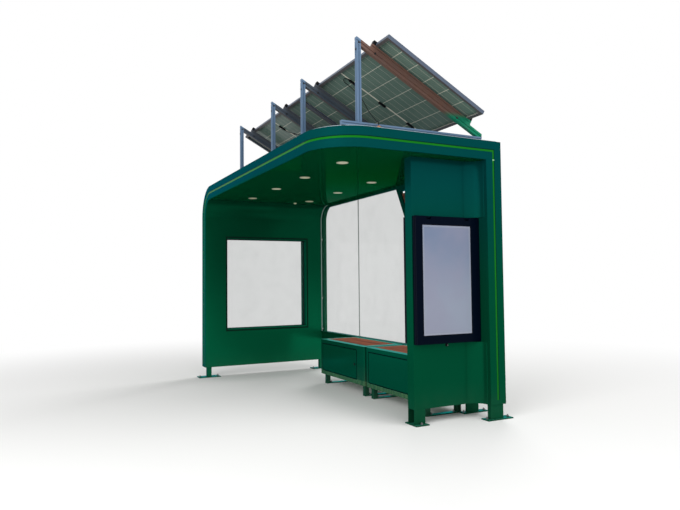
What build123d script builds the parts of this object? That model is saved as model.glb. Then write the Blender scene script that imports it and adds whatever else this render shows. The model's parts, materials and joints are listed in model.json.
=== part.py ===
from build123d import *
import math
import os

os.makedirs("parts", exist_ok=True)

# Frame: +X is the near end with the light box, -Y the open road side, +Z up, in millimetres.
# Places are measured from the ground under the middle of the roof. The written pieces are then
# moved along the roof, so that their origin is under the middle of the whole, panels included.

# Shelter shell
shelter_length = 4000
shelter_depth = 1830
shelter_height = 2580
ribbon_width = 176        # thickness of wall and roof, and width of the post's face
wall_bottom = 140         # underside of both end walls above the ground
bend_inner_radius = 224   # inside of the bend from the far wall into the roof
corner_radius = 430       # plan radius of the near front corner
facing = 12               # sheet facing on the ribbon's edges
soffit_sheet = 4
soffit_seam = 629         # seam line along the soffit, from the middle towards the rear
seam_gap = 3

# Lime stripe let into the ribbon
stripe_offset = 77        # from the ribbon's outer edge
stripe_width = 25
stripe_groove = 6
stripe_thickness = 4
stripe_play = 0.5
stripe_end = 180          # height of the stripe's lower ends

# Roof cover plate
cover_inset = 30
cover_thickness = 12

# Downlights and sensor
lamp_row_front = 410      # ahead of the roof's middle
lamp_row_rear = 413
lamp_column_inner = 430
lamp_column_outer = 1315
lamp_flange_radius = 57
lamp_body_radius = 48
lamp_flange = 3
lamp_hole_play = 2
sensor_radius = 22
sensor_height = 14
sensor_from_bend = 40
sensor_y = 302

# Window in the far wall
window_front_margin = 290 # from the shelter's front edge
window_rear_margin = 327
window_bottom = 634
window_top = 1907
lining = 16
pane_thickness = 8
pane_play = 0.3
pane_bite = 6

# Near wall with its cove
wall_recess = 172         # near wall's outer face behind the ribbon's face
near_wall_thickness = 103
near_wall_margin = 8      # of wall in front of the light box
cove_radius = 134

# Light box, double sided
box_width = 709
box_post_gap = 5          # between the light box and the rear post
box_bottom = 714
box_top = 1866
case_projection = 33
door_gap = 5
door_thickness = 17
frame_left = 68
frame_right = 97
frame_lower = 75
frame_upper = 78
screen_thickness = 5
screen_recess = 4
case_wall = 12
case_flange = 20
inner_frame_depth = 44
hinge_pin_radius = 4
running_gap = 0.3
edge_land = 0.1           # flat left between two rounded edges of a door
hinge_lug_width = 40
hinge_lug_places = (0.2, 0.8)
case_play = 1
light_lock_radius = 9
light_lock_length = 16
light_lock_drop = 20

# Feet and base plates
plate_thickness = 10
anchor_radius = 7
anchor_edge = 22
plate_length = 290        # of the far and rear plates, from front to rear
plate_setback = 70        # of their middle from the shelter's edge
far_foot_size = 60
far_plate_width = 150
near_foot_depth = 115
near_plate_side = 41      # of the near plate beyond the wall's faces
near_plate_front = 8
near_plate_rear = 18
foot_wall = 8             # wall of the near foot and of the channels
channel_web = 147
channel_depth = 45
channel_setback = 100     # of the channels' middle from the shelter's rear edge
channel_inset = 10        # of the post's channel behind the post's face
channel_plate_front = 20
channel_plate_back = 40
rail_foot_setback = 85    # of the bottom rail's foot from the near wall
rail_foot_play = 3        # from the near bench
rail_plate_play = 5       # from the near bench's leg

# Glass back
glass_setback = 65        # of the glass from the shelter's rear edge
glass_thickness = 10
channel_width = 26
channel_height = 30
slot_depth = 12
slot_play = 0.35
edge_play = 1
far_glass_width = 1126    # from the far wall to the middle of the joint
joint_width = 4
rail_top = 560
rail_height = 120
rail_depth = 46
ledge_depth = 70
ledge_height = 14

# Raked frame at the rear near corner
rake_reach = 1461         # of its upper left corner from the near wall
rake_slope = 0.507        # run per unit of fall
rake_width = 70
rake_depth = 40
header_height = 70
infill_thickness = 8
infill_gap = 25

# Bench boxes
bench_depth = 518
bench_bottom = 122
bench_top = 555
bench_length = 1140
bench_gap = 40
bench_wall_gap = 105      # between the near bench and the near wall
bench_sheet = 4
bench_corner = 14         # rounding of the box's front corners
seat_thickness = 30
seat_front_rim = 80
seat_rear_rim = 50
seat_left_rim = 40
seat_right_rim = 100
seat_play = 0.5
door_left_margin = 45
door_right_margin = 175
door_upper = 512
door_lower = 167
bench_door_thickness = 20
bench_door_corner = 16
bench_door_gap = 5
bench_lock_radius = 11
bench_lock_length = 8
bench_lock_inset = 48
leg_size = 50
leg_inset = 75
leg_front = 60
leg_rear = 98
leg_plate_width = 60

# Solar plant on the roof
tilt = 28
panel_length = 1903
panel_width = 1134
panel_depth = 35
panel_gap = 20
array_middle = 205
array_setback = 180       # of the top face's high edge behind the struts
array_high_z = 3345
frame_wall = 11
frame_flange = 28
flange_thickness = 3
laminate_thickness = 6
laminate_drop = 2
laminate_bite = 5
rail_section = 40
beam_height = 50
beam_width = 40
support_middle = 280
support_outer = 1620
support_inner = 435
strut_size = 40
groove_width = 8          # of the slots along struts, beams and rails
groove_depth = 6
strut_inset = 170         # from the front end of the base beams
base_front_inset = 195    # from the shelter's edges
base_rear_inset = 155
base_height = 40
clamp_length = 30
clamp_width = 36
clamp_lip = 14
clamp_cap = 5
junction_length = 86
junction_width = 24
junction_height = 16
junction_places = (0.17, 0.5, 0.83)
gland_clear = 3           # from the near base beam
gland_setback = 170       # of the gland behind the struts
gland_radius = 22         # of the nut, to its corners
gland_nut = 10
gland_stub = 8
gland_stub_radius = 10
lead_radius = 3.5         # to the corners of its section
lead_sides = 8
lead_start = 28           # first straight run out of a box
lead_end = 21             # last straight run into the gland
bend_share = 0.45         # of the shorter run beside a bend

# Worked out
half_length = shelter_length / 2
half_depth = shelter_depth / 2
soffit = shelter_height - ribbon_width
bend_outer_radius = bend_inner_radius + ribbon_width
bend_x = -half_length + bend_outer_radius
bend_z = shelter_height - bend_outer_radius
far_inner = -half_length + ribbon_width
inner_depth = half_depth - facing
post_front = half_depth - ribbon_width
window_front = -half_depth + window_front_margin
window_rear = half_depth - window_rear_margin
box_rear = post_front - box_post_gap
box_front = box_rear - box_width
near_wall_front = box_front - near_wall_margin
glass_plane = half_depth - glass_setback
wall_outer = half_length - wall_recess
wall_inner = wall_outer - near_wall_thickness
roof_near = half_length - facing
corner_x = half_length - corner_radius
corner_y = -half_depth + corner_radius
stripe_far_edge = stripe_offset + stripe_width
roof_top = shelter_height + cover_thickness
glass_joint = far_inner + far_glass_width
rake_top = wall_inner - rake_reach
rail_y = (glass_plane - rail_depth / 2, glass_plane + rail_depth / 2)
ledge_y = (rail_y[1] - ledge_depth, rail_y[1])
bench_rear = ledge_y[0]
bench_front = bench_rear - bench_depth
near_bench_right = wall_inner - bench_wall_gap
near_bench_left = near_bench_right - bench_length
far_bench_left = near_bench_left - bench_gap - bench_length
base_front = -half_depth + base_front_inset
base_rear = half_depth - base_rear_inset
strut_place = base_front + strut_inset
array_high_y = strut_place + array_setback
array_near_end = array_middle + panel_gap / 2 + panel_length
plate_end = half_length - channel_inset + channel_plate_front
plan_middle = (max(array_near_end, plate_end) - half_length) / 2


def write(piece, name):
    """Moves a piece to the frame of the whole and writes it under its own name."""
    placed = piece.moved(Location((-plan_middle, 0, 0)))
    placed.label = name
    export_step(placed, "parts/" + name + ".step")


def middle(span):
    return (span[0] + span[1]) / 2


def block(x, y, z):
    """Plain bar or plate between two limits on each axis."""
    with BuildPart() as bar:
        with BuildSketch(Plane.XY.offset(z[0])):
            with Locations((middle(x), middle(y))):
                Rectangle(x[1] - x[0], y[1] - y[0])
        extrude(amount=z[1] - z[0])
    return bar.part


def ribbon_band(outer, inner, y, bottom, x_end):
    """Band of the wall, bend and roof between two depths below the ribbon's outer face."""
    with BuildPart() as band:
        with BuildSketch(Plane.XZ.offset(-y[1])):
            with BuildLine():
                Line((-half_length + outer, bottom), (-half_length + outer, bend_z))
                CenterArc((bend_x, bend_z), bend_outer_radius - outer, 90, 90)
                Line((bend_x, shelter_height - outer), (x_end, shelter_height - outer))
                Line((x_end, shelter_height - outer), (x_end, shelter_height - inner))
                Line((x_end, shelter_height - inner), (bend_x, shelter_height - inner))
                CenterArc((bend_x, bend_z), bend_outer_radius - inner, 90, 90)
                Line((-half_length + inner, bend_z), (-half_length + inner, bottom))
                Line((-half_length + inner, bottom), (-half_length + outer, bottom))
            make_face()
        extrude(amount=y[1] - y[0])
    return band.part


def roof_slab(inset, x_start, y_rear, z):
    """Slab with the roof's plan: square but for the rounded near front corner."""
    x_end = half_length - inset
    y_front = -half_depth + inset
    radius = corner_radius - inset
    with BuildPart() as slab:
        with BuildSketch(Plane.XY.offset(z[0])):
            with BuildLine():
                Polyline((corner_x, y_front), (x_start, y_front), (x_start, y_rear), (x_end, y_rear),
                         (x_end, corner_y))
                CenterArc((corner_x, corner_y), radius, 270, 90)
            make_face()
        extrude(amount=z[1] - z[0])
    return slab.part


# Far end wall, with its window cut through
with BuildPart() as far_wall:
    add(block((-half_length, far_inner), (-inner_depth, inner_depth), (wall_bottom, bend_z)))
    add(block((-half_length, far_inner), (window_front, window_rear), (window_bottom, window_top)),
        mode=Mode.SUBTRACT)
write(far_wall.part, "far_wall")

# Bend from the far wall into the roof
with BuildPart() as far_bend:
    with BuildSketch(Plane.XZ.offset(-inner_depth)):
        with BuildLine():
            CenterArc((bend_x, bend_z), bend_outer_radius, 90, 90)
            Line((-half_length, bend_z), (far_inner, bend_z))
            CenterArc((bend_x, bend_z), bend_inner_radius, 90, 90)
            Line((bend_x, soffit), (bend_x, shelter_height))
        make_face()
    extrude(amount=2 * inner_depth)
write(far_bend.part, "far_bend")

# Roof deck above the soffit
roof_deck = roof_slab(facing, bend_x, inner_depth, (soffit + soffit_sheet, shelter_height))
write(roof_deck, "roof_deck")

# Soffit sheets, front and rear of the seam, cut for the downlights
lamp_columns = (-lamp_column_outer, -lamp_column_inner, lamp_column_inner, lamp_column_outer)
lamp_places = [(x, y) for x in lamp_columns for y in (-lamp_row_front, lamp_row_rear)]
with BuildPart() as soffit_sheets:
    add(roof_slab(facing, bend_x, soffit_seam, (soffit, soffit + soffit_sheet)))
    add(block((bend_x, roof_near), (soffit_seam + seam_gap, inner_depth), (soffit, soffit + soffit_sheet)))
    with BuildSketch(Plane.XY.offset(soffit)):
        with Locations(lamp_places):
            Circle(lamp_body_radius + lamp_hole_play)
    extrude(amount=soffit_sheet, mode=Mode.SUBTRACT)
write(soffit_sheets.part, "soffit_sheets")

# Ribbon facing along the front: far wall edge, bend and roof edge, with the groove for the stripe
front_skin = (-half_depth, -inner_depth)
front_groove = (-half_depth, -half_depth + stripe_groove)
with BuildPart() as front_fascia:
    add(ribbon_band(0, ribbon_width, front_skin, wall_bottom, corner_x))
    add(ribbon_band(stripe_offset, stripe_far_edge, front_groove, stripe_end, corner_x),
        mode=Mode.SUBTRACT)
write(front_fascia.part, "front_fascia")

# The plain facing along the rear
rear_fascia = ribbon_band(0, ribbon_width, (inner_depth, half_depth), wall_bottom, roof_near)
write(rear_fascia, "rear_fascia")


def corner_band(outer_radius, inner_radius, z):
    """Quarter ring round the plan corner."""
    with BuildPart() as band:
        with BuildSketch(Plane.XY.offset(z[0])):
            with BuildLine():
                CenterArc((corner_x, corner_y), outer_radius, 270, 90)
                Line((corner_x + outer_radius, corner_y), (corner_x + inner_radius, corner_y))
                CenterArc((corner_x, corner_y), inner_radius, 270, 90)
                Line((corner_x, corner_y - inner_radius), (corner_x, corner_y - outer_radius))
            make_face()
        extrude(amount=z[1] - z[0])
    return band.part


stripe_band = (shelter_height - stripe_far_edge, shelter_height - stripe_offset)
with BuildPart() as corner_fascia:
    add(corner_band(corner_radius, corner_radius - facing, (soffit, shelter_height)))
    add(corner_band(corner_radius, corner_radius - stripe_groove, stripe_band), mode=Mode.SUBTRACT)
write(corner_fascia.part, "corner_fascia")


def turn_band(outer, inner, y_start, bottom, x):
    """Band on the near face that runs along the fascia and turns down at the rear corner."""
    with BuildPart() as band:
        with BuildSketch(Plane.YZ.offset(x[0])):
            with BuildLine():
                Polyline((y_start, shelter_height - outer), (half_depth - outer, shelter_height - outer),
                         (half_depth - outer, bottom), (half_depth - inner, bottom),
                         (half_depth - inner, shelter_height - inner),
                         (y_start, shelter_height - inner), close=True)
            make_face()
        extrude(amount=x[1] - x[0])
    return band.part


# Near fascia with the corner square, down to the hairline joint on the post
near_skin = (roof_near, half_length)
groove_skin = (half_length - stripe_groove, half_length)
with BuildPart() as near_fascia:
    add(block(near_skin, (corner_y, half_depth), (soffit, shelter_height)))
    add(turn_band(stripe_offset, stripe_far_edge, corner_y, soffit, groove_skin), mode=Mode.SUBTRACT)
write(near_fascia.part, "near_fascia")

# Face of the rear post at the near end
groove_sides = (half_depth - stripe_far_edge, half_depth - stripe_offset)
with BuildPart() as post_face:
    add(block(near_skin, (post_front, half_depth), (wall_bottom, soffit)))
    add(block(groove_skin, groove_sides, (stripe_end, soffit)), mode=Mode.SUBTRACT)
write(post_face.part, "post_face")

# Lime stripes, clear of the groove's sides and seated on its floor
stripe_near = stripe_offset + stripe_play
stripe_far = stripe_far_edge - stripe_play
stripe_out = stripe_groove - stripe_thickness
stripe_foot = stripe_end + stripe_play
front_stripe = ribbon_band(stripe_near, stripe_far,
                           (-half_depth + stripe_out, -half_depth + stripe_groove),
                           stripe_foot, corner_x)
write(front_stripe, "front_stripe")

stripe_x = (half_length - stripe_groove, half_length - stripe_out)
stripe_z = (shelter_height - stripe_far, shelter_height - stripe_near)
with BuildPart() as near_stripe:
    add(turn_band(stripe_near, stripe_far, corner_y, soffit, stripe_x))
    add(corner_band(corner_radius - stripe_out, corner_radius - stripe_groove, stripe_z))
write(near_stripe.part, "near_stripe")

post_stripe = block(stripe_x, (half_depth - stripe_far, half_depth - stripe_near), (stripe_foot, soffit))
write(post_stripe, "post_stripe")

# Light grey cover plate on the roof
roof_cover = roof_slab(cover_inset, bend_x, half_depth - cover_inset, (shelter_height, roof_top))
write(roof_cover, "roof_cover")

# Downlights and the small sensor under the soffit
with BuildPart() as downlights:
    with BuildSketch(Plane.XY.offset(soffit)):
        with Locations(lamp_places):
            Circle(lamp_body_radius)
    extrude(amount=soffit_sheet)
    with BuildSketch(Plane.XY.offset(soffit - lamp_flange)):
        with Locations(lamp_places):
            Circle(lamp_flange_radius)
    extrude(amount=lamp_flange)
write(downlights.part, "downlights")

with BuildPart() as sensor:
    with BuildSketch(Plane.XY.offset(soffit - sensor_height)):
        with Locations((bend_x + sensor_from_bend, sensor_y)):
            Circle(sensor_radius)
    extrude(amount=sensor_height)
write(sensor.part, "sensor")

# Lining of the window, grooved for its pane
pane_x = middle((-half_length, far_inner))
with BuildPart() as window_lining:
    add(block((-half_length, far_inner), (window_front, window_rear), (window_bottom, window_top)))
    add(block((-half_length, far_inner), (window_front + lining, window_rear - lining),
              (window_bottom + lining, window_top - lining)), mode=Mode.SUBTRACT)
    slot = pane_thickness / 2 + pane_play
    bite = lining - pane_bite - pane_play
    add(block((pane_x - slot, pane_x + slot), (window_front + bite, window_rear - bite),
              (window_bottom + bite, window_top - bite)), mode=Mode.SUBTRACT)
write(window_lining.part, "window_lining")

pane_edge = lining - pane_bite
window_pane = block((pane_x - pane_thickness / 2, pane_x + pane_thickness / 2),
                    (window_front + pane_edge, window_rear - pane_edge),
                    (window_bottom + pane_edge, window_top - pane_edge))
write(window_pane, "window_pane")

# Near wall: a slab with a cove up to the post, cut for the light box
case_sides = (box_front + case_flange, box_rear - case_flange)
case_heights = (box_bottom + case_flange, box_top - case_flange)
cove_middle = (wall_outer + cove_radius, post_front - cove_radius)
with BuildPart() as near_wall:
    with BuildSketch(Plane.XY.offset(wall_bottom)):
        with BuildLine():
            Polyline((wall_outer, cove_middle[1]), (wall_outer, near_wall_front),
                     (wall_inner, near_wall_front), (wall_inner, half_depth),
                     (wall_outer, half_depth), (wall_outer, post_front),
                     (cove_middle[0], post_front))
            CenterArc(cove_middle, cove_radius, 90, 90)
        make_face()
    extrude(amount=soffit - wall_bottom)
    add(block((wall_inner, wall_outer), case_sides, case_heights), mode=Mode.SUBTRACT)
    add(block((wall_outer, half_length), (box_front - door_gap, post_front),
              (box_bottom - door_gap, box_top + door_gap)), mode=Mode.SUBTRACT)
write(near_wall.part, "near_wall")

near_post = block((wall_outer, roof_near), (post_front, half_depth), (wall_bottom, soffit))
write(near_post, "near_post")


def base_plate(x, y, holes):
    """Plate on the ground between two limits each way, drilled for its anchors."""
    with BuildPart() as plate:
        with BuildSketch():
            with Locations((middle(x), middle(y))):
                Rectangle(x[1] - x[0], y[1] - y[0])
            with Locations(holes):
                Circle(anchor_radius, mode=Mode.SUBTRACT)
        extrude(amount=plate_thickness)
    return plate.part


# Feet under the far wall's front and rear edges
plate_middle = half_depth - plate_setback
plate_reach = plate_length / 2
anchor_reach = plate_reach - anchor_edge
far_foot_x = (pane_x - far_foot_size / 2, pane_x + far_foot_size / 2)
far_plate_x = (pane_x - far_plate_width / 2, pane_x + far_plate_width / 2)
with BuildPart() as far_feet:
    for y in (-plate_middle, plate_middle):
        add(base_plate(far_plate_x, (y - plate_reach, y + plate_reach),
                       [(pane_x, y - anchor_reach), (pane_x, y + anchor_reach)]))
        add(block(far_foot_x, (y - far_foot_size / 2, y + far_foot_size / 2),
                  (plate_thickness, wall_bottom)))
write(far_feet.part, "far_feet")

# Foot under the near wall's front edge, folded from sheet and open to the street
near_foot_y = (near_wall_front, near_wall_front + near_foot_depth)
near_plate_x = (wall_inner - near_plate_side, wall_outer + near_plate_side)
near_plate_y = (near_foot_y[0] - near_plate_front, near_foot_y[1] + near_plate_rear)
near_anchors = [(x, middle(near_plate_y))
                for x in (near_plate_x[0] + anchor_edge, near_plate_x[1] - anchor_edge)]
with BuildPart() as near_foot:
    add(base_plate(near_plate_x, near_plate_y, near_anchors))
    add(block((wall_inner, wall_outer), near_foot_y, (plate_thickness, wall_bottom)))
    add(block((wall_inner + foot_wall, wall_outer - foot_wall), (near_foot_y[0], near_foot_y[1] - foot_wall),
              (plate_thickness, wall_bottom)), mode=Mode.SUBTRACT)
write(near_foot.part, "near_foot")


def channel_foot(x, plate_x, top):
    """Channel on its plate, with its web to the near end and its open side to the far end."""
    y = (half_depth - channel_setback - channel_web / 2, half_depth - channel_setback + channel_web / 2)
    with BuildPart() as foot:
        add(base_plate(plate_x, (plate_middle - plate_reach, plate_middle + plate_reach),
                       [(middle(plate_x), plate_middle - anchor_reach),
                        (middle(plate_x), plate_middle + anchor_reach)]))
        add(block(x, y, (plate_thickness, top)))
        add(block((x[0], x[1] - foot_wall), (y[0] + foot_wall, y[1] - foot_wall), (plate_thickness, top)),
            mode=Mode.SUBTRACT)
    return foot.part


# Channels under the rear post and under the near end of the bottom rail
post_foot_x = (half_length - channel_inset - channel_depth, half_length - channel_inset)
post_plate_x = (post_foot_x[0] - channel_plate_back, plate_end)
write(channel_foot(post_foot_x, post_plate_x, wall_bottom), "post_foot")

rail_foot_x = (near_bench_right + rail_foot_play, wall_inner - rail_foot_setback)
near_leg_end = near_bench_right - leg_inset + leg_plate_width / 2
rail_plate_x = (near_leg_end + rail_plate_play, rail_foot_x[1] + channel_plate_front)
write(channel_foot(rail_foot_x, rail_plate_x, rail_top - rail_height), "rail_foot")

# Light box case through the near wall, open to the street behind its door
case_front = wall_outer + case_projection
screen_sides = (box_front + frame_left, box_rear - frame_right)
screen_heights = (box_bottom + frame_lower, box_top - frame_upper)
with BuildPart() as light_box_case:
    add(block((wall_inner, wall_outer),
              (case_sides[0] + case_play, case_sides[1] - case_play),
              (case_heights[0] + case_play, case_heights[1] - case_play)))
    add(block((wall_outer, case_front), (box_front, box_rear), (box_bottom, box_top)))
    add(block((wall_inner + case_wall, case_front),
              (case_sides[0] + case_wall, case_sides[1] - case_wall),
              (case_heights[0] + case_wall, case_heights[1] - case_wall)), mode=Mode.SUBTRACT)
write(light_box_case.part, "light_box_case")

# Door of the light box, hung on a pin along its top edge
door_back = case_front + door_gap
door_face = door_back + door_thickness
pin_x = middle((door_back, door_face))
pin_z = box_top - door_thickness / 2
lug_places = [box_front + share * (box_rear - box_front) for share in hinge_lug_places]
lug_clear = hinge_lug_width / 2 + door_gap
screen_back = door_face - screen_recess - screen_thickness
with BuildPart() as light_box_door:
    add(block((door_back, door_face), (box_front, box_rear), (box_bottom, box_top)))
    fillet(light_box_door.edges().filter_by(Axis.Y).group_by(Axis.Z)[-1], door_thickness / 2 - edge_land)
    add(block((door_back, door_face), screen_sides, screen_heights), mode=Mode.SUBTRACT)
    screen_edge = pane_bite + pane_play
    add(block((screen_back - pane_play, screen_back + screen_thickness + pane_play),
              (screen_sides[0] - screen_edge, screen_sides[1] + screen_edge),
              (screen_heights[0] - screen_edge, screen_heights[1] + screen_edge)),
        mode=Mode.SUBTRACT)
    for y in lug_places:
        add(block((door_back, door_face), (y - lug_clear, y + lug_clear),
                  (pin_z - door_thickness - door_gap, box_top)), mode=Mode.SUBTRACT)
    with BuildSketch(Plane.XZ.offset(-box_rear)):
        with Locations((pin_x, pin_z)):
            Circle(hinge_pin_radius + running_gap)
    extrude(amount=box_rear - box_front, mode=Mode.SUBTRACT)
write(light_box_door.part, "light_box_door")

outer_screen = block((screen_back, screen_back + screen_thickness),
                     (screen_sides[0] - pane_bite, screen_sides[1] + pane_bite),
                     (screen_heights[0] - pane_bite, screen_heights[1] + pane_bite))
write(outer_screen, "outer_screen")

# Two lugs on the case, each with its length of pin
with BuildPart() as light_box_hinge:
    for y in lug_places:
        add(block((case_front, pin_x), (y - hinge_lug_width / 2, y + hinge_lug_width / 2),
                  (pin_z - door_thickness / 2, pin_z + hinge_pin_radius)))
        with BuildSketch(Plane.XZ.offset(-y - lug_clear - hinge_lug_width)):
            with Locations((pin_x, pin_z)):
                Circle(hinge_pin_radius)
        extrude(amount=2 * (lug_clear + hinge_lug_width))
write(light_box_hinge.part, "light_box_hinge")

with BuildPart() as light_box_lock:
    with BuildSketch(Plane.YZ.offset(wall_outer)):
        with Locations((middle((box_front, box_rear)), box_bottom - light_lock_drop)):
            Circle(light_lock_radius)
    extrude(amount=light_lock_length)
write(light_box_lock.part, "light_box_lock")

# Frame and screen on the inner side of the light box
inner_back = wall_inner - inner_frame_depth
with BuildPart() as inner_frame:
    add(block((inner_back, wall_inner), (box_front, box_rear), (box_bottom, box_top)))
    add(block((inner_back, wall_inner), screen_sides, screen_heights), mode=Mode.SUBTRACT)
write(inner_frame.part, "inner_frame")

inner_screen = block((inner_back + screen_recess, wall_inner), screen_sides, screen_heights)
write(inner_screen, "inner_screen")

# Channel that carries the glass along the far wall, the bend and the soffit
channel_y = (glass_plane - channel_width / 2, glass_plane + channel_width / 2)
slot_y = (glass_plane - glass_thickness / 2 - slot_play, glass_plane + glass_thickness / 2 + slot_play)
channel_inner = ribbon_width + channel_height
with BuildPart() as glass_channel:
    add(ribbon_band(ribbon_width, channel_inner, channel_y, rail_top, rake_top))
    add(ribbon_band(channel_inner - slot_depth, channel_inner, slot_y, rail_top, rake_top),
        mode=Mode.SUBTRACT)
write(glass_channel.part, "glass_channel")

# Bottom rail with its ledge, slotted for the glass
with BuildPart() as bottom_rail:
    add(block((far_inner, wall_inner), rail_y, (rail_top - rail_height, rail_top)))
    add(block((far_inner, wall_inner), ledge_y, (rail_top - ledge_height, rail_top)))
    add(block((far_inner, wall_inner), slot_y, (rail_top - slot_depth, rail_top)), mode=Mode.SUBTRACT)
write(bottom_rail.part, "bottom_rail")


def rake_x(z, shift=0):
    """Place of the raked frame's left edge at a height."""
    return rake_top + shift + (soffit - z) * rake_slope


# Glass panes, with a butt joint between them and a raked edge beside the frame
glass_y = (glass_plane - glass_thickness / 2, glass_plane + glass_thickness / 2)
glass_bottom = rail_top - slot_depth + edge_play
glass_edge = channel_inner - slot_depth + edge_play
glass_top = shelter_height - glass_edge
pane_ends = (glass_joint - joint_width / 2, glass_joint + joint_width / 2)
with BuildPart() as far_pane:
    with BuildSketch(Plane.XZ.offset(-glass_y[1])):
        with BuildLine():
            Polyline((bend_x, glass_top), (pane_ends[0], glass_top), (pane_ends[0], glass_bottom),
                     (-half_length + glass_edge, glass_bottom), (-half_length + glass_edge, bend_z))
            CenterArc((bend_x, bend_z), bend_outer_radius - glass_edge, 90, 90)
        make_face()
    extrude(amount=glass_thickness)
write(far_pane.part, "glass_pane_far")

with BuildPart() as near_pane:
    with BuildSketch(Plane.XZ.offset(-glass_y[1])):
        with BuildLine():
            Polyline((pane_ends[1], glass_bottom), (pane_ends[1], glass_top),
                     (rake_x(glass_top, -edge_play), glass_top),
                     (rake_x(rail_top, -edge_play), rail_top),
                     (rake_x(rail_top, -edge_play), glass_bottom), close=True)
        make_face()
    extrude(amount=glass_thickness)
write(near_pane.part, "glass_pane_near")

# Raked frame with its header, and the infill sheet hung in it
rake_y = (glass_plane - rake_depth / 2, glass_plane + rake_depth / 2)
with BuildPart() as rake_frame:
    with BuildSketch(Plane.XZ.offset(-rake_y[1])):
        with BuildLine():
            Polyline((rake_x(soffit), soffit), (wall_inner, soffit),
                     (wall_inner, soffit - header_height),
                     (rake_x(soffit - header_height, rake_width), soffit - header_height),
                     (rake_x(rail_top, rake_width), rail_top), (rake_x(rail_top), rail_top), close=True)
        make_face()
    extrude(amount=rake_depth)
write(rake_frame.part, "rake_frame")

infill_top = soffit - header_height - infill_gap
infill_y = (glass_plane - infill_thickness / 2, glass_plane + infill_thickness / 2)
with BuildPart() as infill:
    with BuildSketch(Plane.XZ.offset(-infill_y[1])):
        with BuildLine():
            Polyline((rake_x(infill_top, rake_width), infill_top), (wall_inner, infill_top),
                     (wall_inner, glass_bottom), (rake_x(rail_top, rake_width), glass_bottom),
                     (rake_x(rail_top, rake_width), rail_top), close=True)
        make_face()
    extrude(amount=infill_thickness)
write(infill.part, "infill")


def bench_shell(x, y, z, radius):
    """Box with its two front upright edges rounded."""
    with BuildPart() as shell:
        add(block(x, y, z))
        fillet(shell.edges().filter_by(Axis.Z).group_by(Axis.Y)[0], radius)
    return shell.part


def rounded_panel(x, y, z, radius):
    """Upright panel that faces the road, with rounded corners."""
    with BuildPart() as panel_face:
        with BuildSketch(Plane.XZ.offset(-y[1])):
            with Locations((middle(x), middle(z))):
                RectangleRounded(x[1] - x[0], z[1] - z[0], radius)
        extrude(amount=y[1] - y[0])
    return panel_face.part


def bench(left, name):
    """Bench box with its seat, hinged front door and legs, from its far end."""
    right = left + bench_length
    width = bench_door_thickness
    door_x = (left + door_left_margin, right - door_right_margin)
    hinge_x = door_x[0] + bench_door_gap + width / 2
    hinge_y = bench_front + width / 2
    with BuildPart() as box:
        add(bench_shell((left, right), (bench_front, bench_rear), (bench_bottom, bench_top), bench_corner))
        add(bench_shell((left + bench_sheet, right - bench_sheet),
                        (bench_front + bench_sheet, bench_rear - bench_sheet),
                        (bench_bottom + bench_sheet, bench_top - bench_sheet),
                        bench_corner - bench_sheet), mode=Mode.SUBTRACT)
        add(block((left + seat_left_rim - bench_sheet, right - seat_right_rim + bench_sheet),
                  (bench_front + seat_front_rim - bench_sheet, bench_rear - seat_rear_rim + bench_sheet),
                  (bench_top - seat_thickness - bench_sheet, bench_top)))
        add(rounded_panel(door_x, (bench_front, bench_front + bench_sheet), (door_lower, door_upper),
                          bench_door_corner), mode=Mode.SUBTRACT)
        add(block((left + seat_left_rim, right - seat_right_rim),
                  (bench_front + seat_front_rim, bench_rear - seat_rear_rim),
                  (bench_top - seat_thickness, bench_top)), mode=Mode.SUBTRACT)
        with BuildSketch(Plane.XY.offset(bench_bottom)):
            with Locations((hinge_x, hinge_y)):
                Circle(hinge_pin_radius)
        extrude(amount=bench_top - bench_bottom)
    write(box.part, name + "_box")

    seat = block((left + seat_left_rim + seat_play, right - seat_right_rim - seat_play),
                 (bench_front + seat_front_rim + seat_play, bench_rear - seat_rear_rim - seat_play),
                 (bench_top - seat_thickness, bench_top))
    write(seat, name + "_seat")

    face_x = (door_x[0] + bench_door_gap, door_x[1] - bench_door_gap)
    face_z = (door_lower + bench_door_gap, door_upper - bench_door_gap)
    lock = (face_x[1] - bench_lock_inset, middle(face_z))
    with BuildPart() as door:
        add(block(face_x, (bench_front, bench_front + width), face_z))
        fillet(door.edges().filter_by(Axis.Z).group_by(Axis.X)[0], width / 2 - edge_land)
        add(rounded_panel(face_x, (bench_front, bench_front + width), face_z, bench_door_corner),
            mode=Mode.INTERSECT)
        with BuildSketch(Plane.XY.offset(face_z[0])):
            with Locations((hinge_x, hinge_y)):
                Circle(hinge_pin_radius + running_gap)
        extrude(amount=face_z[1] - face_z[0], mode=Mode.SUBTRACT)
        with BuildSketch(Plane.XZ.offset(-bench_front)):
            with Locations(lock):
                Circle(bench_lock_radius)
        extrude(amount=bench_lock_length)
    write(door.part, name + "_door")

    rows = (bench_front + leg_front, bench_rear - leg_rear)
    reach = leg_size / 2
    with BuildPart() as legs:
        for x in (left + leg_inset, right - leg_inset):
            add(base_plate((x - leg_plate_width / 2, x + leg_plate_width / 2),
                           (rows[0] - reach, rows[1] + reach),
                           [(x, rows[0] + reach + anchor_edge), (x, rows[1] - reach - anchor_edge)]))
            for y in rows:
                add(block((x - reach, x + reach), (y - reach, y + reach), (plate_thickness, bench_bottom)))
    write(legs.part, name + "_legs")


bench(far_bench_left, "far_bench")
bench(near_bench_left, "near_bench")

# Slope frame of the panels: its x along the roof, its y down the slope, its z out of the panel face
slope = Plane(origin=(0, array_high_y, array_high_z), x_dir=(1, 0, 0),
              z_dir=(0, math.sin(math.radians(tilt)), math.cos(math.radians(tilt))))


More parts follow.
